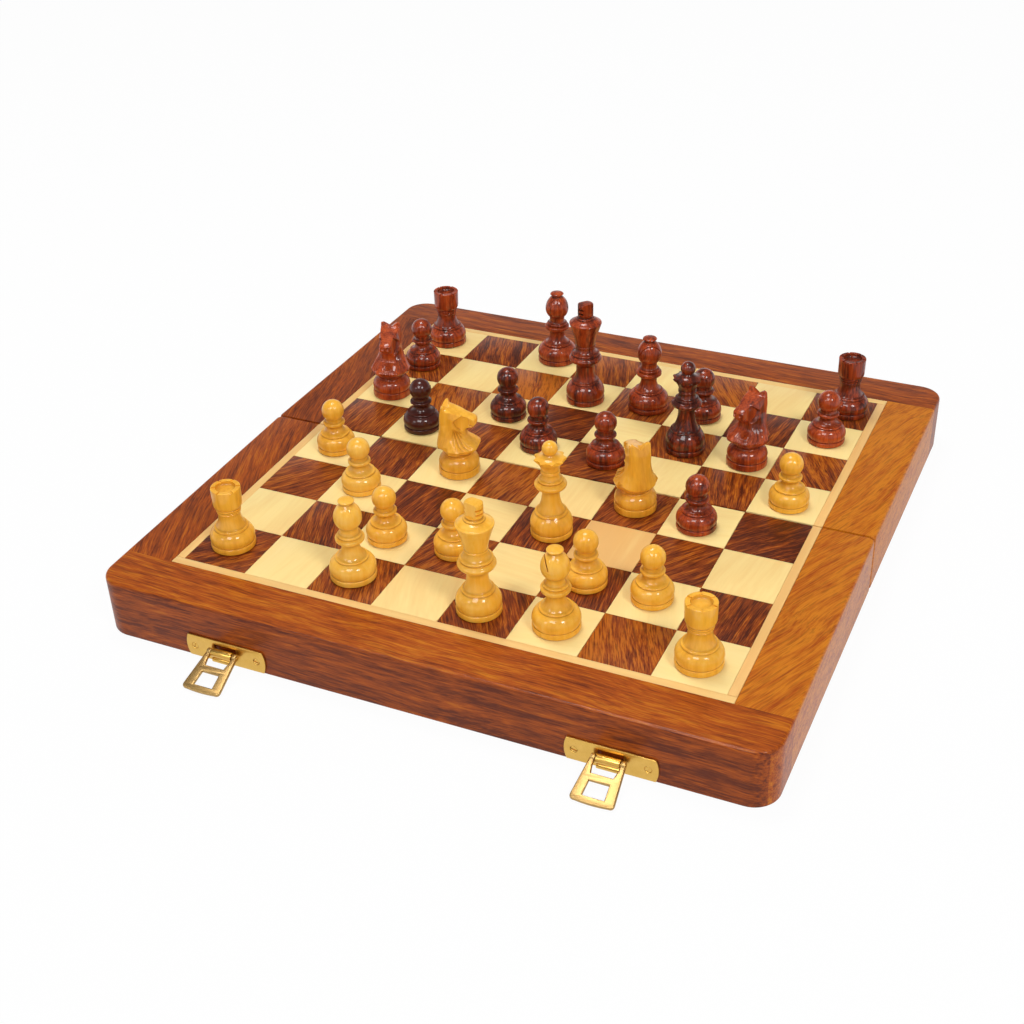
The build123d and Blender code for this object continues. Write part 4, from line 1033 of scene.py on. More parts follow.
def inside_of(line, u, z):
    """Whether each place of the side view is inside a closed line."""
    inside = np.zeros(u.shape, bool)
    for a, b in zip(line, np.roll(line, -1, axis=0)):
        if a[1] != b[1]:
            inside ^= ((a[1] > z) != (b[1] > z)) & (
                u < (b[0] - a[0]) * (z - a[1]) / (b[1] - a[1]) + a[0])
    return inside


corner_line = curve_through([(0, 0), (1, 0), (1, 1), (0, 1)])
print("a smooth line through 4 points has", len(corner_line))

# %% [markdown]
# The head is drawn from the side: U runs forward and Z up. The back rises to the ears, the brow
# falls to the nose, the muzzle is blunt, and the mane spreads out over the chest below the jaw.
# The cheek's edge runs from the ears to the throat, and the locks of the mane are cut below it.

# %% Side view of the knight's head
BACK_LINE = [(-6.6, 6.0), (-6.8, 11.4), (-9.2, 13.2), (-10.0, 15.0), (-9.5, 18.4), (-8.8, 22.4),
             (-8.3, 26.6), (-7.9, 30.6), (-7.3, 33.6), (-6.6, 36.2)]
BROW_LINE = [(-5.6, 37.2), (-4.6, 36.7), (-3.9, 35.0), (-1.5, 34.0), (2.5, 32.8), (6.0, 31.7),
             (8.1, 31.0)]
MUZZLE_LINE = [(9.5, 30.1), (9.8, 28.7), (9.5, 27.0), (8.6, 25.9), (7.0, 25.2), (5.2, 24.5)]
CHEST_LINE = [(4.4, 23.4), (4.0, 21.6), (4.5, 19.9), (6.4, 18.4), (8.9, 17.0), (10.3, 15.4),
              (9.7, 13.8), (7.0, 11.6), (6.6, 6.0)]
HEAD_SIDE = BACK_LINE + BROW_LINE + MUZZLE_LINE + CHEST_LINE
CHEEK_EDGE = [(4.4, 36.0), (3.9, 33.0), (2.4, 31.6), (0.6, 30.2), (-0.9, 28.8), (-0.2, 27.0),
              (1.2, 24.8), (4.2, 23.2), (6.5, 22.4)]
MANE_GROOVES = [[(1.5, 25.4), (3.2, 22.2), (6.2, 19.2), (8.2, 17.6)],
                [(0.9, 25.2), (2.2, 21.8), (5.0, 18.4), (7.8, 16.4)],
                [(0.3, 25.2), (1.3, 21.2), (3.9, 17.6), (7.0, 15.2)],
                [(-0.4, 25.2), (0.3, 20.8), (2.7, 17.0), (5.8, 14.6)],
                [(-1.1, 25.2), (-0.7, 20.6), (1.2, 16.6), (4.2, 14.4)]]
GRID = 0.2
u_line = np.arange(-10.6, 10.6, GRID)
v_line = np.arange(-10.6, 10.6, GRID)
z_line = np.arange(10.8, 38.4, GRID)
u, z = np.meshgrid(u_line, z_line, indexing="ij")
HEAD_BOTTOM = 11.9
rim = curve_through(HEAD_SIDE, 6)
depth = distance_to(rim, u, z, closed=True) * np.where(inside_of(rim, u, z), 1, -1)


def blended(value, low, high):
    """0 up to low, 1 from high, and an even slope between."""
    return np.clip((value - low) / (high - low), 0, 1)


def forward_at(line):
    """How far forward a line of the side view is at the height of each place."""
    return np.interp(z, [p[1] for p in line][::-1], [p[0] for p in line][::-1])


edge_u = forward_at(CHEEK_EDGE)
in_front = blended(u - edge_u, -0.15, 0.35) * blended(z, 22.0, 23.6)
print("side view of the head:", u.shape, "places")

# %% [markdown]
# The neck is a skirt that narrows upward. Its chest is cut flat, with a corner on each side, and
# its back is round. Two numbers say so at each place: how wide the wood is there, and over what
# distance from the outline it rounds off.

# %% The neck
def faded(first, second, share):
    """The first value where the share is 0, the second where it is 1."""
    return first * (1 - share) + second * share


neck_width = np.interp(z, [11.4, 13.2, 15.0, 18, 21, 24, 27, 30, 33, 37],
                       [6.9, 9.4, 9.9, 8.1, 6.6, 5.8, 5.2, 5.1, 5.0, 4.9])
neck_round = np.interp(z, [12, 16, 20, 24, 27, 31, 35, 39],
                       [9.2, 9.0, 6.5, 4.0, 2.6, 1.4, 0.9, 0.8])
chest_u = forward_at(CHEST_LINE)
chest_width = np.interp(z, [12.4, 15.0, 17.2, 20, 23, 25], [4.2, 4.8, 4.6, 4.0, 3.4, 3.2])
from_chest = np.clip((chest_u - u) / 7.5, 0, 1) ** 0.85
cut_chest = blended(-z, -25.0, -22.5) * blended(u, -3.0, -1.0)
width = faded(neck_width, chest_width + (neck_width - chest_width) * from_chest, cut_chest)
edge = faded(neck_round, 0.8, cut_chest)
print("the neck is", round(2 * float(width.max()), 1), "mm wide at most")

# %% [markdown]
# The forehead and nose are one flat cut, widest between the ears, which leaves a sharp brow line
# on each side. Below that line the face lies deeper than the mane behind it, so the cheek's edge
# stands out as a step. The muzzle is blunt and flares at the nostrils.

# %% The face and the brow
face_width = np.interp(u, [-1.0, 1.0, 3.0, 5.0, 6.2, 7.2, 8.6, 9.8],
                       [3.8, 3.5, 3.0, 2.6, 2.5, 3.0, 3.1, 2.8])
face_edge = np.interp(u, [1.0, 6.0, 9.0], [0.6, 0.7, 1.0])
width = faded(width, face_width, in_front)
edge = faded(edge, face_edge, in_front)

brow_z = np.interp(u, [p[0] for p in BROW_LINE], [p[1] for p in BROW_LINE])
brow_width = np.interp(u, [-5, -3, 0, 3, 6, 8.2, 9.6], [4.9, 4.7, 4.3, 3.5, 3.0, 2.8, 2.4])
near_brow = faded(blended(z, brow_z - 3.6, brow_z - 0.4),
                  0.7 * blended(z, brow_z - 1.0, brow_z - 0.4), in_front)
near_brow = near_brow * blended(u, -4.0, -2.5)
width = faded(width, brow_width, near_brow)
edge = faded(edge, 0.5, near_brow)
print("the brow is blended in at", int((near_brow > 0).sum()), "places")

# %% [markdown]
# The mouth, the eye and the locks of the mane are grooves and a pit: they take a little off the
# width. The locks fade out toward the jaw, the chest and the outline, as cuts of a gouge do.

# %% Grooves and the eye
GROOVE_SPREAD = 0.36
MOUTH = [(9.8, 26.9), (8.2, 26.7), (6.8, 27.0)]
EYE = (3.9, 30.9)


def dent(line, amount, spread):
    """How much a groove along a line takes away."""
    return amount * np.exp(-(distance_to(np.array(line, float), u, z) / spread) ** 2)


fade = blended(z, 14.2, 16.6) * blended(depth, 0.2, 1.4) * blended(-z, -26.0, -23.5)
grooves = dent(MOUTH, 0.7, 0.28)
grooves += 0.25 * np.exp(-(np.hypot(u - EYE[0], z - EYE[1]) / 0.6) ** 2)
for number, groove in enumerate(MANE_GROOVES):
    amount = 0.95 if number < 4 else 0.55
    grooves += dent(curve_through(groove, 6, closed=False), amount, GROOVE_SPREAD) * fade
print("the deepest groove takes", round(float(grooves.max()), 2), "mm")

# %% [markdown]
# Now the numbers become a solid: above zero is air and below zero is wood. Across the head the
# wood follows an ellipse, so that it has no ridge where it rounds off. Further cuts are made with
# the larger of two values, which is how two such fields are taken from each other: the V between
# the ears, the hair on the chest, the nostrils, the hollows of the ears and the flat bottom.

# %% The head as a solid
EAR_FOOT, EAR_SLOPE = 34.3, 1.35
HAIR_DEPTH, HAIR_PITCH, HAIR_TOP = 0.22, 1.05, 21.5


def pit(centre, side, radius, stretch=(1, 1, 1)):
    """Value of a round hollow on one side of the head."""
    middle = (centre[0], side * centre[1], centre[2])
    away = [(place - m) / k for place, m, k in zip((u[:, None, :], v, z[:, None, :]), middle,
                                                   stretch)]
    return radius - np.sqrt(away[0] ** 2 + away[1] ** 2 + away[2] ** 2)


width = np.maximum(width - grooves, 0.5)[:, None, :]
v = v_line[None, :, None]
edge_share = np.maximum(1 - depth / edge, 0)[:, None, :]
field = (np.hypot(v / width, edge_share) - 1) * np.minimum(width, edge[:, None, :] * 2)
at_ears = (z > EAR_FOOT) & (u < -1.5)
ears = np.where(at_ears, EAR_SLOPE * (z - EAR_FOOT), -5)[:, None, :] - np.abs(v)
field = np.maximum(field, ears)
hair = HAIR_DEPTH * (0.5 + 0.5 * np.cos(2 * pi * v / HAIR_PITCH))
chest_front = (u - chest_u)[:, None, :] + hair * blended(-z, -21.0, -19.0)[:, None, :]
field = np.maximum(field, np.where((z < HAIR_TOP)[:, None, :], chest_front, -9))
for side in (-1, 1):
    field = np.maximum(field, pit((9.9, 1.45, 28.9), side, 1.0))
    field = np.maximum(field, pit((-4.1, 3.9, 35.6), side, 0.8, (1, 0.8, 1.5)))
field = np.maximum(field, np.broadcast_to((HEAD_BOTTOM - z)[:, None, :], field.shape))
field += 1e-5
head_points, head_faces = skin(field, np.array([u_line[0], v_line[0], z_line[0]]), GRID)
print("knight's head has", len(head_faces), "faces")

# %% [markdown]
# The head stands on its turned base, and the two make one mesh. Its points get their painted
# shade as well: the base from its outline, the head from the grooves and the step at the cheek.

# %% Join the head to its base
base_points, base_faces = spun(outlines["knight"], SIDES)
shift = len(base_points)
blanks["knight"] = mesh_from("knight_carved", base_points + head_points,
                             base_faces + [tuple(i + shift for i in f) for f in head_faces])
# Painted shade just in front of the cheek's step, where the face lies deeper, added to the painted
# shade in the grooves.
cheek_step = np.exp(-((u - edge_u - 0.35) / 0.25) ** 2) * blended(z, 24.0, 25.5)
groove_depth = np.clip(grooves / 1.3 + 0.6 * cheek_step, 0, 1) * (depth > 0.3)
base_flat = np.array([(hypot(x, y), h) for x, y, h in base_points])
knight_hollow = list(nearest_values(base_flat, outlines["knight"]))
knight_hollow += [groove_depth[int(round((x - u_line[0]) / GRID)),
                               int(round((h - z_line[0]) / GRID))] for x, y, h in head_points]
note(blanks["knight"], "hollow", np.array(knight_hollow), domain="POINT")
print("knight blank has", len(blanks["knight"].polygons), "faces")

# %% [markdown]
# Now the men take their places. Each CAD man's box gives his foot: its middle, and the lowest
# point, which is a little below the foot's centre because the board slopes. Light men are
# boxwood and dark men rosewood, and each man's own tone and plank make him a little different.
# The carved and sawn men also have a heading, because nobody sets them down quite straight. One
# pawn is out of play and lies in his trough.

# %% Places of the men
FELT_INSET = 0.4
FOOT = {"king": 9.7, "queen": 9.4, "bishop": 10.1, "rook": 9.9, "pawn": 9.0, "knight": 9.7}
HEADINGS = {"light_rook_h": 20, "light_knight_b": 10, "light_knight_g": 128,
            "light_bishop_c": 150, "light_bishop_f": 205, "light_king": 350,
            "dark_rook_h": 30, "dark_knight_b": 285, "dark_knight_g": 250,
            "dark_bishop_c": 60, "dark_bishop_f": 300, "dark_king": 50}
STORED = "light_pawn_e"


def standing_place(node, kind):
    """Place of a man's foot, turned to his heading, from his CAD box."""
    low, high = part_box(node)
    middle = (low + high) / 2
    deck = decks["far" if middle.y > 0 else "near"]
    up = deck.to_3x3().col[2]
    tilt = up.angle(Vector((0, 0, 1)))
    foot = (FOOT[kind] - FELT_INSET) * MM * sin(tilt)
    place = upright(Vector((1, 0, 0)), up, Vector((middle.x, middle.y, low.z + foot)))
    return place @ Matrix.Rotation(radians(HEADINGS.get(node, 0)), 4, "Z")


def stored_place(node):
    """Place of the pawn that lies in his trough, foot outward."""
    low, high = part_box(node)
    deck = decks["near"].to_3x3()
    spot = Vector(((low.x + high.x) / 2, low.y, (low.z + high.z) / 2))
    return upright(deck.col[0], -deck.col[1], spot)


men = [n for n in frame["nodes"] if n.split("_")[1] in FOOT]
print("the stored man lies at", [round(c, 3) for c in stored_place(STORED).translation])

# %% [markdown]
# Some dark men are nearly black and some are red, and no two knights are carved alike, so a few
# men get a tone of their own and three heads are made a little taller or lower. Felt is glued
# under every foot.

# %% Set the men on the board
TONES = {"dark_pawn_b": -0.80, "dark_pawn_a": -0.05, "dark_pawn_c": -0.30, "dark_pawn_d": -0.20,
         "dark_pawn_e": 0.0, "dark_pawn_f": -0.12, "dark_pawn_g": 0.05, "dark_queen": -0.32,
         "dark_king": -0.05, "dark_bishop_f": 0.0, "dark_rook_a": 0.05, "dark_rook_h": -0.15,
         "dark_knight_b": 0.16, "dark_knight_g": 0.10}
HEAD_STRETCH = {"dark_knight_b": 1.0, "dark_knight_g": 0.8, "light_knight_b": -0.5}
felt_outline = [(0, 0), (0.985, 0), (1.0, 0.05), (1.0, 0.25), (0.985, FELT), (0, FELT)]


def stretched(mesh, amount):
    """Makes a carved head taller above its chest, or lower if the amount is negative."""
    low, high = 20.0, 37.0
    for point in mesh.vertices:
        point.co.z += MM * amount * min(max((point.co.z / MM - low) / (high - low), 0), 1)


for node in sorted(men):
    kind = node.split("_")[1]
    finish = boxwood if node.startswith("light") else rosewood
    place = stored_place(node) if node == STORED else standing_place(node, kind)
    mesh = blanks[kind].copy()
    if node in HEAD_STRETCH:
        stretched(mesh, HEAD_STRETCH[node])
    tone = TONES.get(node, float(rng.uniform(-0.12, 0.12)))
    note_wood(mesh, tone, 0.0, rng.uniform(0, 1, 3))
    man = finish_mesh(node.replace("_", ".", 1), mesh, finish, node, [node], place)
    points, faces = spun([(r * (FOOT[kind] - FELT_INSET), h) for r, h in felt_outline], 72)
    finish_mesh(f"felt.{node}", mesh_from("felt", points, faces), felt, node, [node], place)
print("men set:", len(men))

# %% [markdown]
# The brass plates are stamped from sheet, with rounded edges. A flat curve with a bevel makes
# them quickly: the outline and its holes are lines of one curve, its thickness is the extrusion
# and its bevel rounds the edges. It becomes a mesh at the end, like every other piece.

# %% Stamped plates
def stamped(outlines, thickness, edge):
    """A mesh of a flat plate with holes, in millimetres, its middle at height 0."""
    curve = bpy.data.curves.new("stamped", "CURVE")
    curve.dimensions, curve.fill_mode = "2D", "BOTH"
    curve.extrude, curve.bevel_depth = (thickness / 2 - edge) * MM, edge * MM
    curve.bevel_resolution, curve.offset = 2, -edge * MM
    for outline in outlines:
        line = curve.splines.new("POLY")
        line.points.add(len(outline) - 1)
        for point, (x, y) in zip(line.points, outline):
            point.co = (x * MM, y * MM, 0, 1)
        line.use_cyclic_u = True
    holder = into_scene("stamped", curve)
    bpy.context.view_layer.update()
    mesh = bpy.data.meshes.new_from_object(
        holder.evaluated_get(bpy.context.evaluated_depsgraph_get()))
    bpy.data.objects.remove(holder)
    shape = bmesh.new()
    shape.from_mesh(mesh)
    bmesh.ops.remove_doubles(shape, verts=shape.verts, dist=0.002 * MM)
    bmesh.ops.recalc_face_normals(shape, faces=shape.faces)
    shape.to_mesh(mesh)
    shape.free()
    return mesh


print("plates are stamped in the XY plane")

# %% [markdown]
# Their outlines are made of straight lines, arcs, whole rounds and slightly bowed edges. Parts
# that are soldered or pressed together are merged into one mesh, each moved to its place first.

# %% Outlines and places of plates
def arc(centre, radius, start, end, count=10):
    """Points of an arc, its angles in degrees."""
    return [(centre[0] + radius * cos(radians(start + (end - start) * k / count)),
             centre[1] + radius * sin(radians(start + (end - start) * k / count)))
            for k in range(count + 1)]


def disc(centre, radius, sides=24):
    """Points of a whole round."""
    return arc(centre, radius, 0, 360 - 360 / sides, sides - 1)


def bowed(a, b, bow, count=8):
    """Points from a to b that bow to the right of the way."""
    a, b = Vector(a), Vector(b)
    side = Vector(((b - a).y, -(b - a).x)).normalized() * bow
    return [tuple(a.lerp(b, k / count) + side * 4 * (k / count) * (1 - k / count))
            for k in range(count + 1)]


def merged(*meshes):
    """One mesh of several, each given with its place."""
    shape = bmesh.new()
    for mesh, place in meshes:
        part = mesh.copy()
        part.transform(place)
        shape.from_mesh(part)
        bpy.data.meshes.remove(part)
    result = bpy.data.meshes.new("merged")
    shape.to_mesh(result)
    shape.free()
    return result


def at(x, y, z):
    """A place moved by so many millimetres."""
    return Matrix.Translation(Vector((x, y, z)) * MM)


print("a round hole is drawn with", len(disc((0, 0), 1)), "points")

# %% [markdown]
# A clasp is three pieces: a plate screwed to the near edge, a tongue of the same plate rolled
# forward round a pin, and a loop that swings on the pin. The plate's ends are bowed and it has a
# slot behind the tongue. The tongue is a rolled link, cut square and joined to the plate by a foot.

# %% Clasps
PLATE_LENGTH, PLATE_HEIGHT, PLATE_THICKNESS, PLATE_BULGE = 37.0, 11.0, 0.9, 1.2
PLATE_ABOVE_RIM = 0.95
PLATE_MIDDLE = RIM + PLATE_ABOVE_RIM + PLATE_HEIGHT / 2
PIVOT_LEVEL, PIVOT_REACH = RIM + 7.4, 3.0
TONGUE_WIDTH, ROLL, PIN, SCREW = 10.0, 1.9, 0.8, 1.5
CLASP_X = 88.0
PIN_LENGTH = 14.8
PIN_BORE, SCREW_HOLE = PIN + 0.05, SCREW + 0.05
near = decks["near"]
face_turn = Matrix(((-1, 0, 0), (0, 0, 1), (0, 1, 0))).to_4x4()
across_turn = Matrix(((0, 0, 1), (1, 0, 0), (0, 1, 0))).to_4x4()


def ring_section(radius, bore, sides=40):
    """Outlines of a round with a bore."""
    return [disc((0, 0), radius, sides), disc((0, 0), bore, sides)]


half_length, half_height = PLATE_LENGTH / 2, PLATE_HEIGHT / 2
plate_line = (bowed((half_length, -half_height), (half_length, half_height), PLATE_BULGE)
              + bowed((-half_length, half_height), (-half_length, -half_height), PLATE_BULGE))
slot_half = TONGUE_WIDTH / 2 + 0.4
slot_top = PIVOT_LEVEL + ROLL - PLATE_MIDDLE + 0.5
slot_low = PIVOT_LEVEL - ROLL - 0.9 - PLATE_MIDDLE
slot_line = [(-slot_half, slot_low), (slot_half, slot_low), (slot_half, slot_top),
             (-slot_half, slot_top)]
screw_x = half_length - 3.1
holes = [disc((side * screw_x, 0), SCREW_HOLE) for side in (-1, 1)]
plate_mesh = stamped([plate_line, slot_line] + holes, PLATE_THICKNESS, 0.3)
roll_mesh = stamped(ring_section(ROLL, PIN_BORE), TONGUE_WIDTH, 0.18)
tail_mesh = stamped([disc((0.2, -ROLL - 1.25), 1.4)], TONGUE_WIDTH - 0.6, 0.15)
foot_mesh = stamped([[(-PIVOT_REACH, -ROLL - 0.8), (0.2, -ROLL - 0.8), (0.2, -ROLL + 0.1),
                      (-PIVOT_REACH, -ROLL + 0.1)]], TONGUE_WIDTH, 0.10)
for side, hand in ((1, "left"), (-1, "right")):
    x = side * CLASP_X
    plate_at = at(x, HALF_WIDTH + PLATE_THICKNESS / 2, PLATE_MIDDLE) @ face_turn
    pivot_at = at(x, HALF_WIDTH + PIVOT_REACH, PIVOT_LEVEL) @ across_turn
    mesh = merged((plate_mesh, plate_at), (roll_mesh, pivot_at), (tail_mesh, pivot_at),
                  (foot_mesh, pivot_at))
    plate = finish_mesh(f"clasp_plate_{hand}", mesh, brass, "near_half", ["clasp_plates"], near)
    pin_mesh = stamped([disc((0, 0), PIN)], PIN_LENGTH, 0.15)
    pin = finish_mesh(f"clasp_pin_{hand}", merged((pin_mesh, pivot_at)), brass, "near_half",
                      ["clasp_pins"], near)
    print("clasp plate", hand, "has", len(plate.data.polygons), "faces")

# %% [markdown]
# The loop hangs open here, leaning on the table. Its two arms flare a little, a crossbar joins
# them at the top, and its lower bar has round corners. The lean isn't typed in: it is the angle at
# which the loop's tip, on the end of its reach, just meets the table.

# %% Swinging loops
LOOP_THICK, LOOP_REACH, LOOP_BAR, LOOP_BOW = 1.7, 17.4, 2.2, 0.4
TOP_HALF, BOTTOM_HALF = 7.4, 9.1
TIP_REACH, TIP_DEPTH, TABLE_GAP = 20.0, 0.85, 0.0001
EAR_GAP = TONGUE_WIDTH / 2 + 0.3


def loop_mesh():
    """The loop lying flat: X across it, Y from its pivot to its lower bar."""
    length = LOOP_REACH + LOOP_BAR
    outline = [(-EAR_GAP, -0.2), (-EAR_GAP, 3.6), (-4.6, 7.0), (4.6, 7.0), (EAR_GAP, 3.6),
               (EAR_GAP, -0.2), (TOP_HALF, -0.2)]
    outline += [(TOP_HALF + (BOTTOM_HALF - TOP_HALF) * k / 4, LOOP_REACH * k / 4)
                for k in range(1, 4)]
    outline += bowed((BOTTOM_HALF, LOOP_REACH), (BOTTOM_HALF - LOOP_BAR, length), 0.9)
    outline += bowed((BOTTOM_HALF - LOOP_BAR, length), (LOOP_BAR - BOTTOM_HALF, length),
                     LOOP_BOW)[1:]
    outline += bowed((LOOP_BAR - BOTTOM_HALF, length), (-BOTTOM_HALF, LOOP_REACH), 0.9)[1:]
    outline += [(-TOP_HALF - (BOTTOM_HALF - TOP_HALF) * k / 4, LOOP_REACH * k / 4)
                for k in (3, 2, 1)]
    outline.append((-TOP_HALF, -0.2))
    window = [(-4.2, 10.2), (4.2, 10.2), (4.6, LOOP_REACH - 0.4), (-4.6, LOOP_REACH - 0.4)]
    flat = stamped([outline, window], LOOP_THICK, 0.5)
    ear = stamped(ring_section(1.6, PIN_BORE), 1.9, 0.3)
    ears = [(ear, at(hand * (EAR_GAP + 0.95), 0, 0) @ across_turn) for hand in (-1, 1)]
    return merged((flat, Matrix.Identity(4)), *ears)


for hand in ("left", "right"):
    pivot = Vector(joints[f"clasp_{hand}"]["pos_m"])
    tip = hypot(TIP_REACH, TIP_DEPTH) * MM
    droop = asin((pivot.z - TABLE_GAP) / tip) - atan2(TIP_DEPTH, TIP_REACH)
    outward = Vector((0, -cos(droop), -sin(droop)))
    along = Vector((-1, 0, 0))
    mesh = loop_mesh()
    mesh.transform(upright(along, along.cross(outward), pivot))
    loop = finish_mesh(f"clasp_loop_{hand}.brass", mesh, satin_brass_painted_shade, f"clasp_loop_{hand}",
                       [f"clasp_loop_{hand}"])
    print("loop", hand, "leans at", round(degrees(droop), 1), "degrees")

# %% [markdown]
# The catch plates on the far edge are stamped like the clasps, and each has a lug that the loop
# snaps over when the box is shut. So their height isn't free: with the halves folded together, the
# lug has to be a loop's reach above the pin of the clasp.

# %% Catch plates
LUG_IN_LOOP = 0.5 + 0.55
CATCH_LEVEL = (-2 * (BOARD_THICKNESS + RIM_TO_AXIS)
               - (PIVOT_LEVEL - (LOOP_REACH - LUG_IN_LOOP)))
CATCH_HALF_LENGTH, CATCH_HALF_HEIGHT, CATCH_SCREW = 11, 5, 7.5
catch_line = [(-CATCH_HALF_LENGTH, -CATCH_HALF_HEIGHT), (CATCH_HALF_LENGTH, -CATCH_HALF_HEIGHT),
              (CATCH_HALF_LENGTH, CATCH_HALF_HEIGHT), (-CATCH_HALF_LENGTH, CATCH_HALF_HEIGHT)]
catch_holes = [disc((side * CATCH_SCREW, 0), SCREW_HOLE) for side in (-1, 1)]
catch_mesh = stamped([catch_line] + catch_holes, PLATE_THICKNESS, 0.15)
lug_mesh = stamped([[(-3.8, 0), (3.8, 0), (3.8, 3.4), (2.8, 4.3), (-2.8, 4.3), (-3.8, 3.4)]],
                   1.1, 0.2)
far = decks["far"]
for side, hand in ((-1, "left"), (1, "right")):
    x = side * CLASP_X
    mesh = merged((catch_mesh, at(x, HALF_WIDTH + PLATE_THICKNESS / 2, CATCH_LEVEL) @ face_turn),
                  (lug_mesh, at(x, HALF_WIDTH, CATCH_LEVEL)))
    mesh.transform(far)
    catch = finish_mesh(f"catch_plate_{hand}", mesh, brass, "far_half", ["catch_plates"])
print("catch plates are at", round(CATCH_LEVEL, 2), "mm from the squares")

# %% [markdown]
# A screw is turned like a man, with its slot cut across the head. Its head ends flush with the
# plate, so that the hinge screws of the two halves don't meet when the board lies flat. Screws
# stop at any turn, so each seat has a turn of its own.

# %% Screws
HINGE_X, HINGE_LENGTH, LEAF_HEIGHT, LEAF, KNUCKLE = 78.0, 30.0, 15.0, 1.0, 2.0
HINGE_SCREW = 9.0
HINGE_SCREW_Z = RIM + (LEAF_HEIGHT + KNUCKLE) / 2
screw_outline = [(0, -8), (0.3, -7.7), (0.8, -6.9), (0.8, -1.0), (SCREW - 0.1, -0.3),
                 (SCREW, -0.22), (SCREW - 0.08, -0.14), (SCREW - 0.5, -0.04), (0, 0.0)]
screw_points, screw_faces = spun(screw_outline, 48)
screw_blank = carve(mesh_from("screw", screw_points, screw_faces),
                    [block((0, 0, 0.1), (4, 0.5, 1.2))])


def screw_set(name, body, node, deck, seats):
    """All the screws of one half: each seat is a spot, the way it faces and its turn."""
    parts = []
    for x, y, z, facing, turn in seats:
        place = upright(Vector((1, 0, 0)), Vector((0, facing, 0)), Vector((x, y, z)) * MM)
        parts.append((screw_blank, place @ Matrix.Rotation(radians(turn), 4, "Z")))
    piece = finish_mesh(name, merged(*parts), brass, body, [node], deck)


face_y = HALF_WIDTH + PLATE_THICKNESS
seats = [(s, h) for s in (-1, 1) for h in (-1, 1)]
hinge_seats = [(s * HINGE_X + h * HINGE_SCREW, FOLD_GAP / 2, HINGE_SCREW_Z, -1, 35 * h + 20 * s)
               for s, h in seats]
clasp_seats = [(s * CLASP_X + h * screw_x, face_y, PLATE_MIDDLE, 1, 25 + 40 * h * s)
               for s, h in seats]
catch_seats = [(s * CLASP_X + h * CATCH_SCREW, face_y, CATCH_LEVEL, 1, 60 * h - 15 * s)
               for s, h in seats]
screw_set("screws.near", "near_half", "screws_near", near, hinge_seats + clasp_seats)
screw_set("screws.far", "far_half", "screws_far", far, hinge_seats + catch_seats)
print("screws turned:", 2 * len(hinge_seats) + len(clasp_seats) + len(catch_seats))

# %% [markdown]
# A butt hinge is two leaves whose knuckles take turns along one pin. The near leaf has three
# knuckles and the far leaf two. Each knuckle is a rolled ring with a short strap up to its leaf.

# %% Hinges
KNUCKLES, KNUCKLE_GAP, HINGE_PIN, BORE_ROOM = 5, 0.3, 1.0, 0.05
pitch = HINGE_LENGTH / KNUCKLES
leaf_low, leaf_top, leaf_end = RIM + KNUCKLE + 0.4, RIM + LEAF_HEIGHT, HINGE_LENGTH / 2
leaf_line = [(-leaf_end, leaf_low), (leaf_end, leaf_low), (leaf_end, leaf_top),
             (-leaf_end, leaf_top)]
leaf_holes = [disc((h * HINGE_SCREW, HINGE_SCREW_Z), SCREW_HOLE) for h in (-1, 1)]
leaf_mesh = stamped([leaf_line] + leaf_holes, LEAF, 0.12)
knuckle_mesh = stamped(ring_section(KNUCKLE, HINGE_PIN + BORE_ROOM), pitch - KNUCKLE_GAP, 0.12)
strap_line = [(0.06, -0.5), (1.06, -0.5), (1.06, 2.9), (0.06, 2.9)]
strap_mesh = stamped([strap_line], pitch - KNUCKLE_GAP, 0.1)
for half, own in (("near", 0), ("far", 1)):
    parts = []
    for side in (-1, 1):
        parts.append((leaf_mesh, at(side * HINGE_X, FOLD_GAP / 2 + LEAF / 2, 0) @ face_turn))
        for k in range(own, KNUCKLES, 2):
            middle = side * HINGE_X - HINGE_LENGTH / 2 + (k + 0.5) * pitch
            axis = at(middle, 0, RIM - RIM_TO_AXIS) @ across_turn
            parts += [(knuckle_mesh, axis), (strap_mesh, axis)]
    leaves = finish_mesh(f"hinge_leaves.{half}", merged(*parts), brass, f"{half}_half",
                         [f"hinge_leaves_{half}"], decks[half])
pin_mesh = stamped([disc((0, 0), HINGE_PIN)], HINGE_LENGTH, 0.15)
pins = merged(*[(pin_mesh, at(side * HINGE_X, 0, RIM - RIM_TO_AXIS) @ across_turn)
                for side in (-1, 1)])
pins = finish_mesh("hinge_pins.brass", pins, brass, "near_half", ["hinge_pins"], near)
print("hinges made, with", KNUCKLES, "knuckles each")

# %% [markdown]
# The rail under the fold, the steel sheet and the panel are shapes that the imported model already
# has right, and they are hidden or plain. They stay, and get their finishes.

# %% Finishes for the carried pieces
for half in decks:
    for node, finish in ((f"fold_rail_{half}", border_wood), (f"steel_sheet_{half}", steel),
                         (f"backing_panel_{half}", panel_wood)):
        part = frame["nodes"][node]
        part.data.materials.clear()
        part.data.materials.append(finish)
        print(node, "is finished in", finish.name)

# %% [markdown]
# The floor is white and stays white in view and in reflections, but it still takes the light, so
# the soft shadow under the board is kept. Most of its whiteness is set with Light Path, and the
# rest comes from the light that falls on it.

# %% Floor
FLOOR_HALF, FLOOR_LEVEL, WHITENESS = 6, -0.0001, 0.96


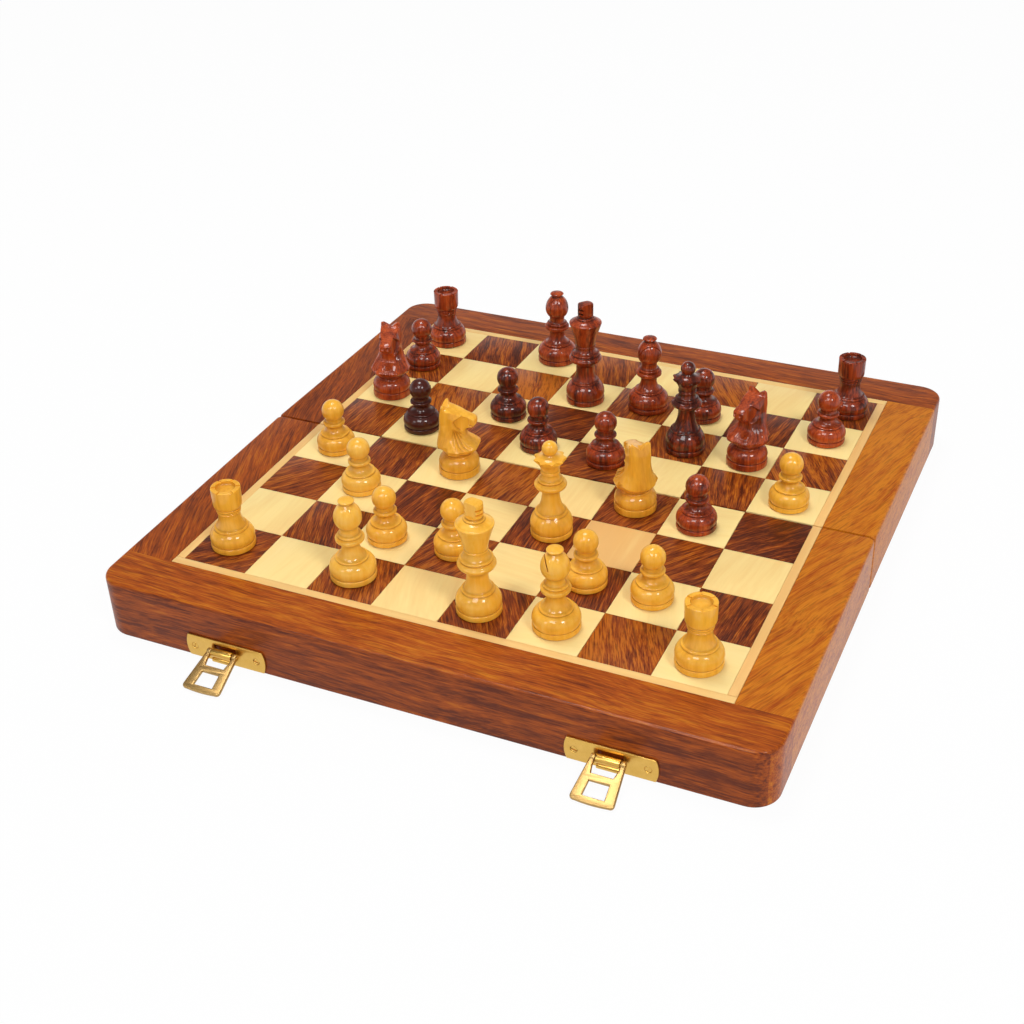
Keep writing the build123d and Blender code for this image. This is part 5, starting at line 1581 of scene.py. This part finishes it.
def make_floor():
    """A white floor that shows white to the camera and in reflections."""
    mesh = bpy.data.meshes.new("floor")
    mesh.from_pydata([(x * FLOOR_HALF, y * FLOOR_HALF, FLOOR_LEVEL)
                      for x, y in ((-1, -1), (1, -1), (1, 1), (-1, 1))], [], [(0, 1, 2, 3)])
    floor = into_scene("floor", mesh)
    material = bpy.data.materials.new("white_floor")
    material.use_nodes = True
    tree = material.node_tree
    tree.nodes.clear()
    new = tree.nodes.new
    output, mix, path = (new("ShaderNodeOutputMaterial"), new("ShaderNodeMixShader"),
                         new("ShaderNodeLightPath"))
    glow, matt = new("ShaderNodeEmission"), new("ShaderNodeBsdfDiffuse")
    seen, seen_all = new("ShaderNodeMath"), new("ShaderNodeMath")
    share = new("ShaderNodeMath")
    glow.inputs["Strength"].default_value = 1.0
    matt.inputs["Color"].default_value = (0.85, 0.85, 0.85, 1)
    seen.operation = seen_all.operation = "MAXIMUM"
    share.operation = "MULTIPLY"
    share.inputs[1].default_value = WHITENESS
    for source, goal in ((path.outputs["Is Camera Ray"], seen.inputs[0]),
                         (path.outputs["Is Glossy Ray"], seen.inputs[1]),
                         (seen.outputs[0], seen_all.inputs[0]),
                         (path.outputs["Is Transmission Ray"], seen_all.inputs[1]),
                         (seen_all.outputs[0], share.inputs[0]),
                         (share.outputs[0], mix.inputs["Fac"]),
                         (matt.outputs[0], mix.inputs[1]),
                         (glow.outputs[0], mix.inputs[2]),
                         (mix.outputs[0], output.inputs["Surface"])):
        tree.links.new(source, goal)
    mesh.materials.append(material)


make_floor()
print("floor laid")

# %% [markdown]
# The light is that of a small product studio. A lamp with a square face, about as wide as a
# forearm is long, leaves small crisp highlights on the lacquer and a shadow with a soft edge.
# Every lamp looks at the middle of the board.

# %% A square lamp
def lamp(name, spot, size, power):
    """A square area lamp at a spot, in metres and watts, aimed at the middle of the board."""
    light = bpy.data.lights.new(name, "AREA")
    light.shape, light.size, light.size_y = "RECTANGLE", size, size
    light.energy = power
    holder = into_scene(name, light)
    holder.location = spot
    holder.rotation_euler = (-Vector(spot)).to_track_quat("-Z", "Y").to_euler()
    return holder


print("a lamp is aimed along its own -Z")

# %% [markdown]
# One lamp stands high on the right, one hangs above and a weak one fills from the front left.
# Lacquered men in a studio tent carry one more thing: the small bright reflection of a soft box
# on each curve that faces it. A lamp can be kept for reflections alone, so that it draws those
# highlights and changes no colour.

# %% Place the lamps
lamp("key_right", (1.0, -0.7, 1.2), 0.35, 10.5)
lamp("top", (-0.25, 0.15, 1.5), 0.5, 11.5)
lamp("front", (-0.7, -1.3, 0.9), 0.35, 3.0)
soft_box = lamp("soft_box", (0.03, -0.96, 1.15), 0.55, 10.0)
soft_box.visible_diffuse = False

# %% [markdown]
# The room round the lamps is bright near the ground and darker above. A room that was white all
# over would lay a haze on the dark wood, so the world fades from white at the horizon to grey
# overhead.

# %% The room round the lamps
HORIZON, OVERHEAD = 1.0, 0.22
FADE_START, FADE_END = 0.05, 0.45


def make_room():
    """A world whose light fades with height."""
    world = bpy.data.worlds.new("studio")
    bpy.context.scene.world = world
    world.use_nodes = True
    tree = world.node_tree
    new = tree.nodes.new
    ground = tree.nodes["Background"]
    spot, split, ramp = (new("ShaderNodeTexCoord"), new("ShaderNodeSeparateXYZ"),
                         new("ShaderNodeMapRange"))
    for name, value in (("From Min", FADE_START), ("From Max", FADE_END),
                        ("To Min", HORIZON), ("To Max", OVERHEAD)):
        ramp.inputs[name].default_value = value
    tree.links.new(spot.outputs["Generated"], split.inputs[0])
    tree.links.new(split.outputs["Z"], ramp.inputs["Value"])
    ground.inputs["Color"].default_value = (1, 1, 1, 1)
    tree.links.new(ramp.outputs[0], ground.inputs["Strength"])


make_room()
bpy.context.scene.view_settings.view_transform = "Standard"
print("room from", HORIZON, "at the horizon to", OVERHEAD, "overhead")

# %% [markdown]
# The camera looks down at the near right corner from about arm's length, with a slightly long
# lens. It is aimed by the way it looks and the way its right side points, so that its slight roll
# is kept too.

# %% Camera
camera_data = bpy.data.cameras.new("camera")
camera_data.sensor_width = 36.0
camera_data.lens = 54.30
camera = into_scene("camera", camera_data)
look = Vector((-0.36033, 0.76212, -0.53790)).normalized()
right = Vector((0.91126, 0.41086, -0.02831))
right = (right - look * right.dot(look)).normalized()
camera.matrix_world = Matrix((right, right.cross(look), -look)).transposed().to_4x4()
camera.location = (0.24916, -0.57589, 0.40874)
camera_data.clip_start = 0.01
bpy.context.scene.camera = camera
print("camera at", [round(c, 3) for c in camera.location])
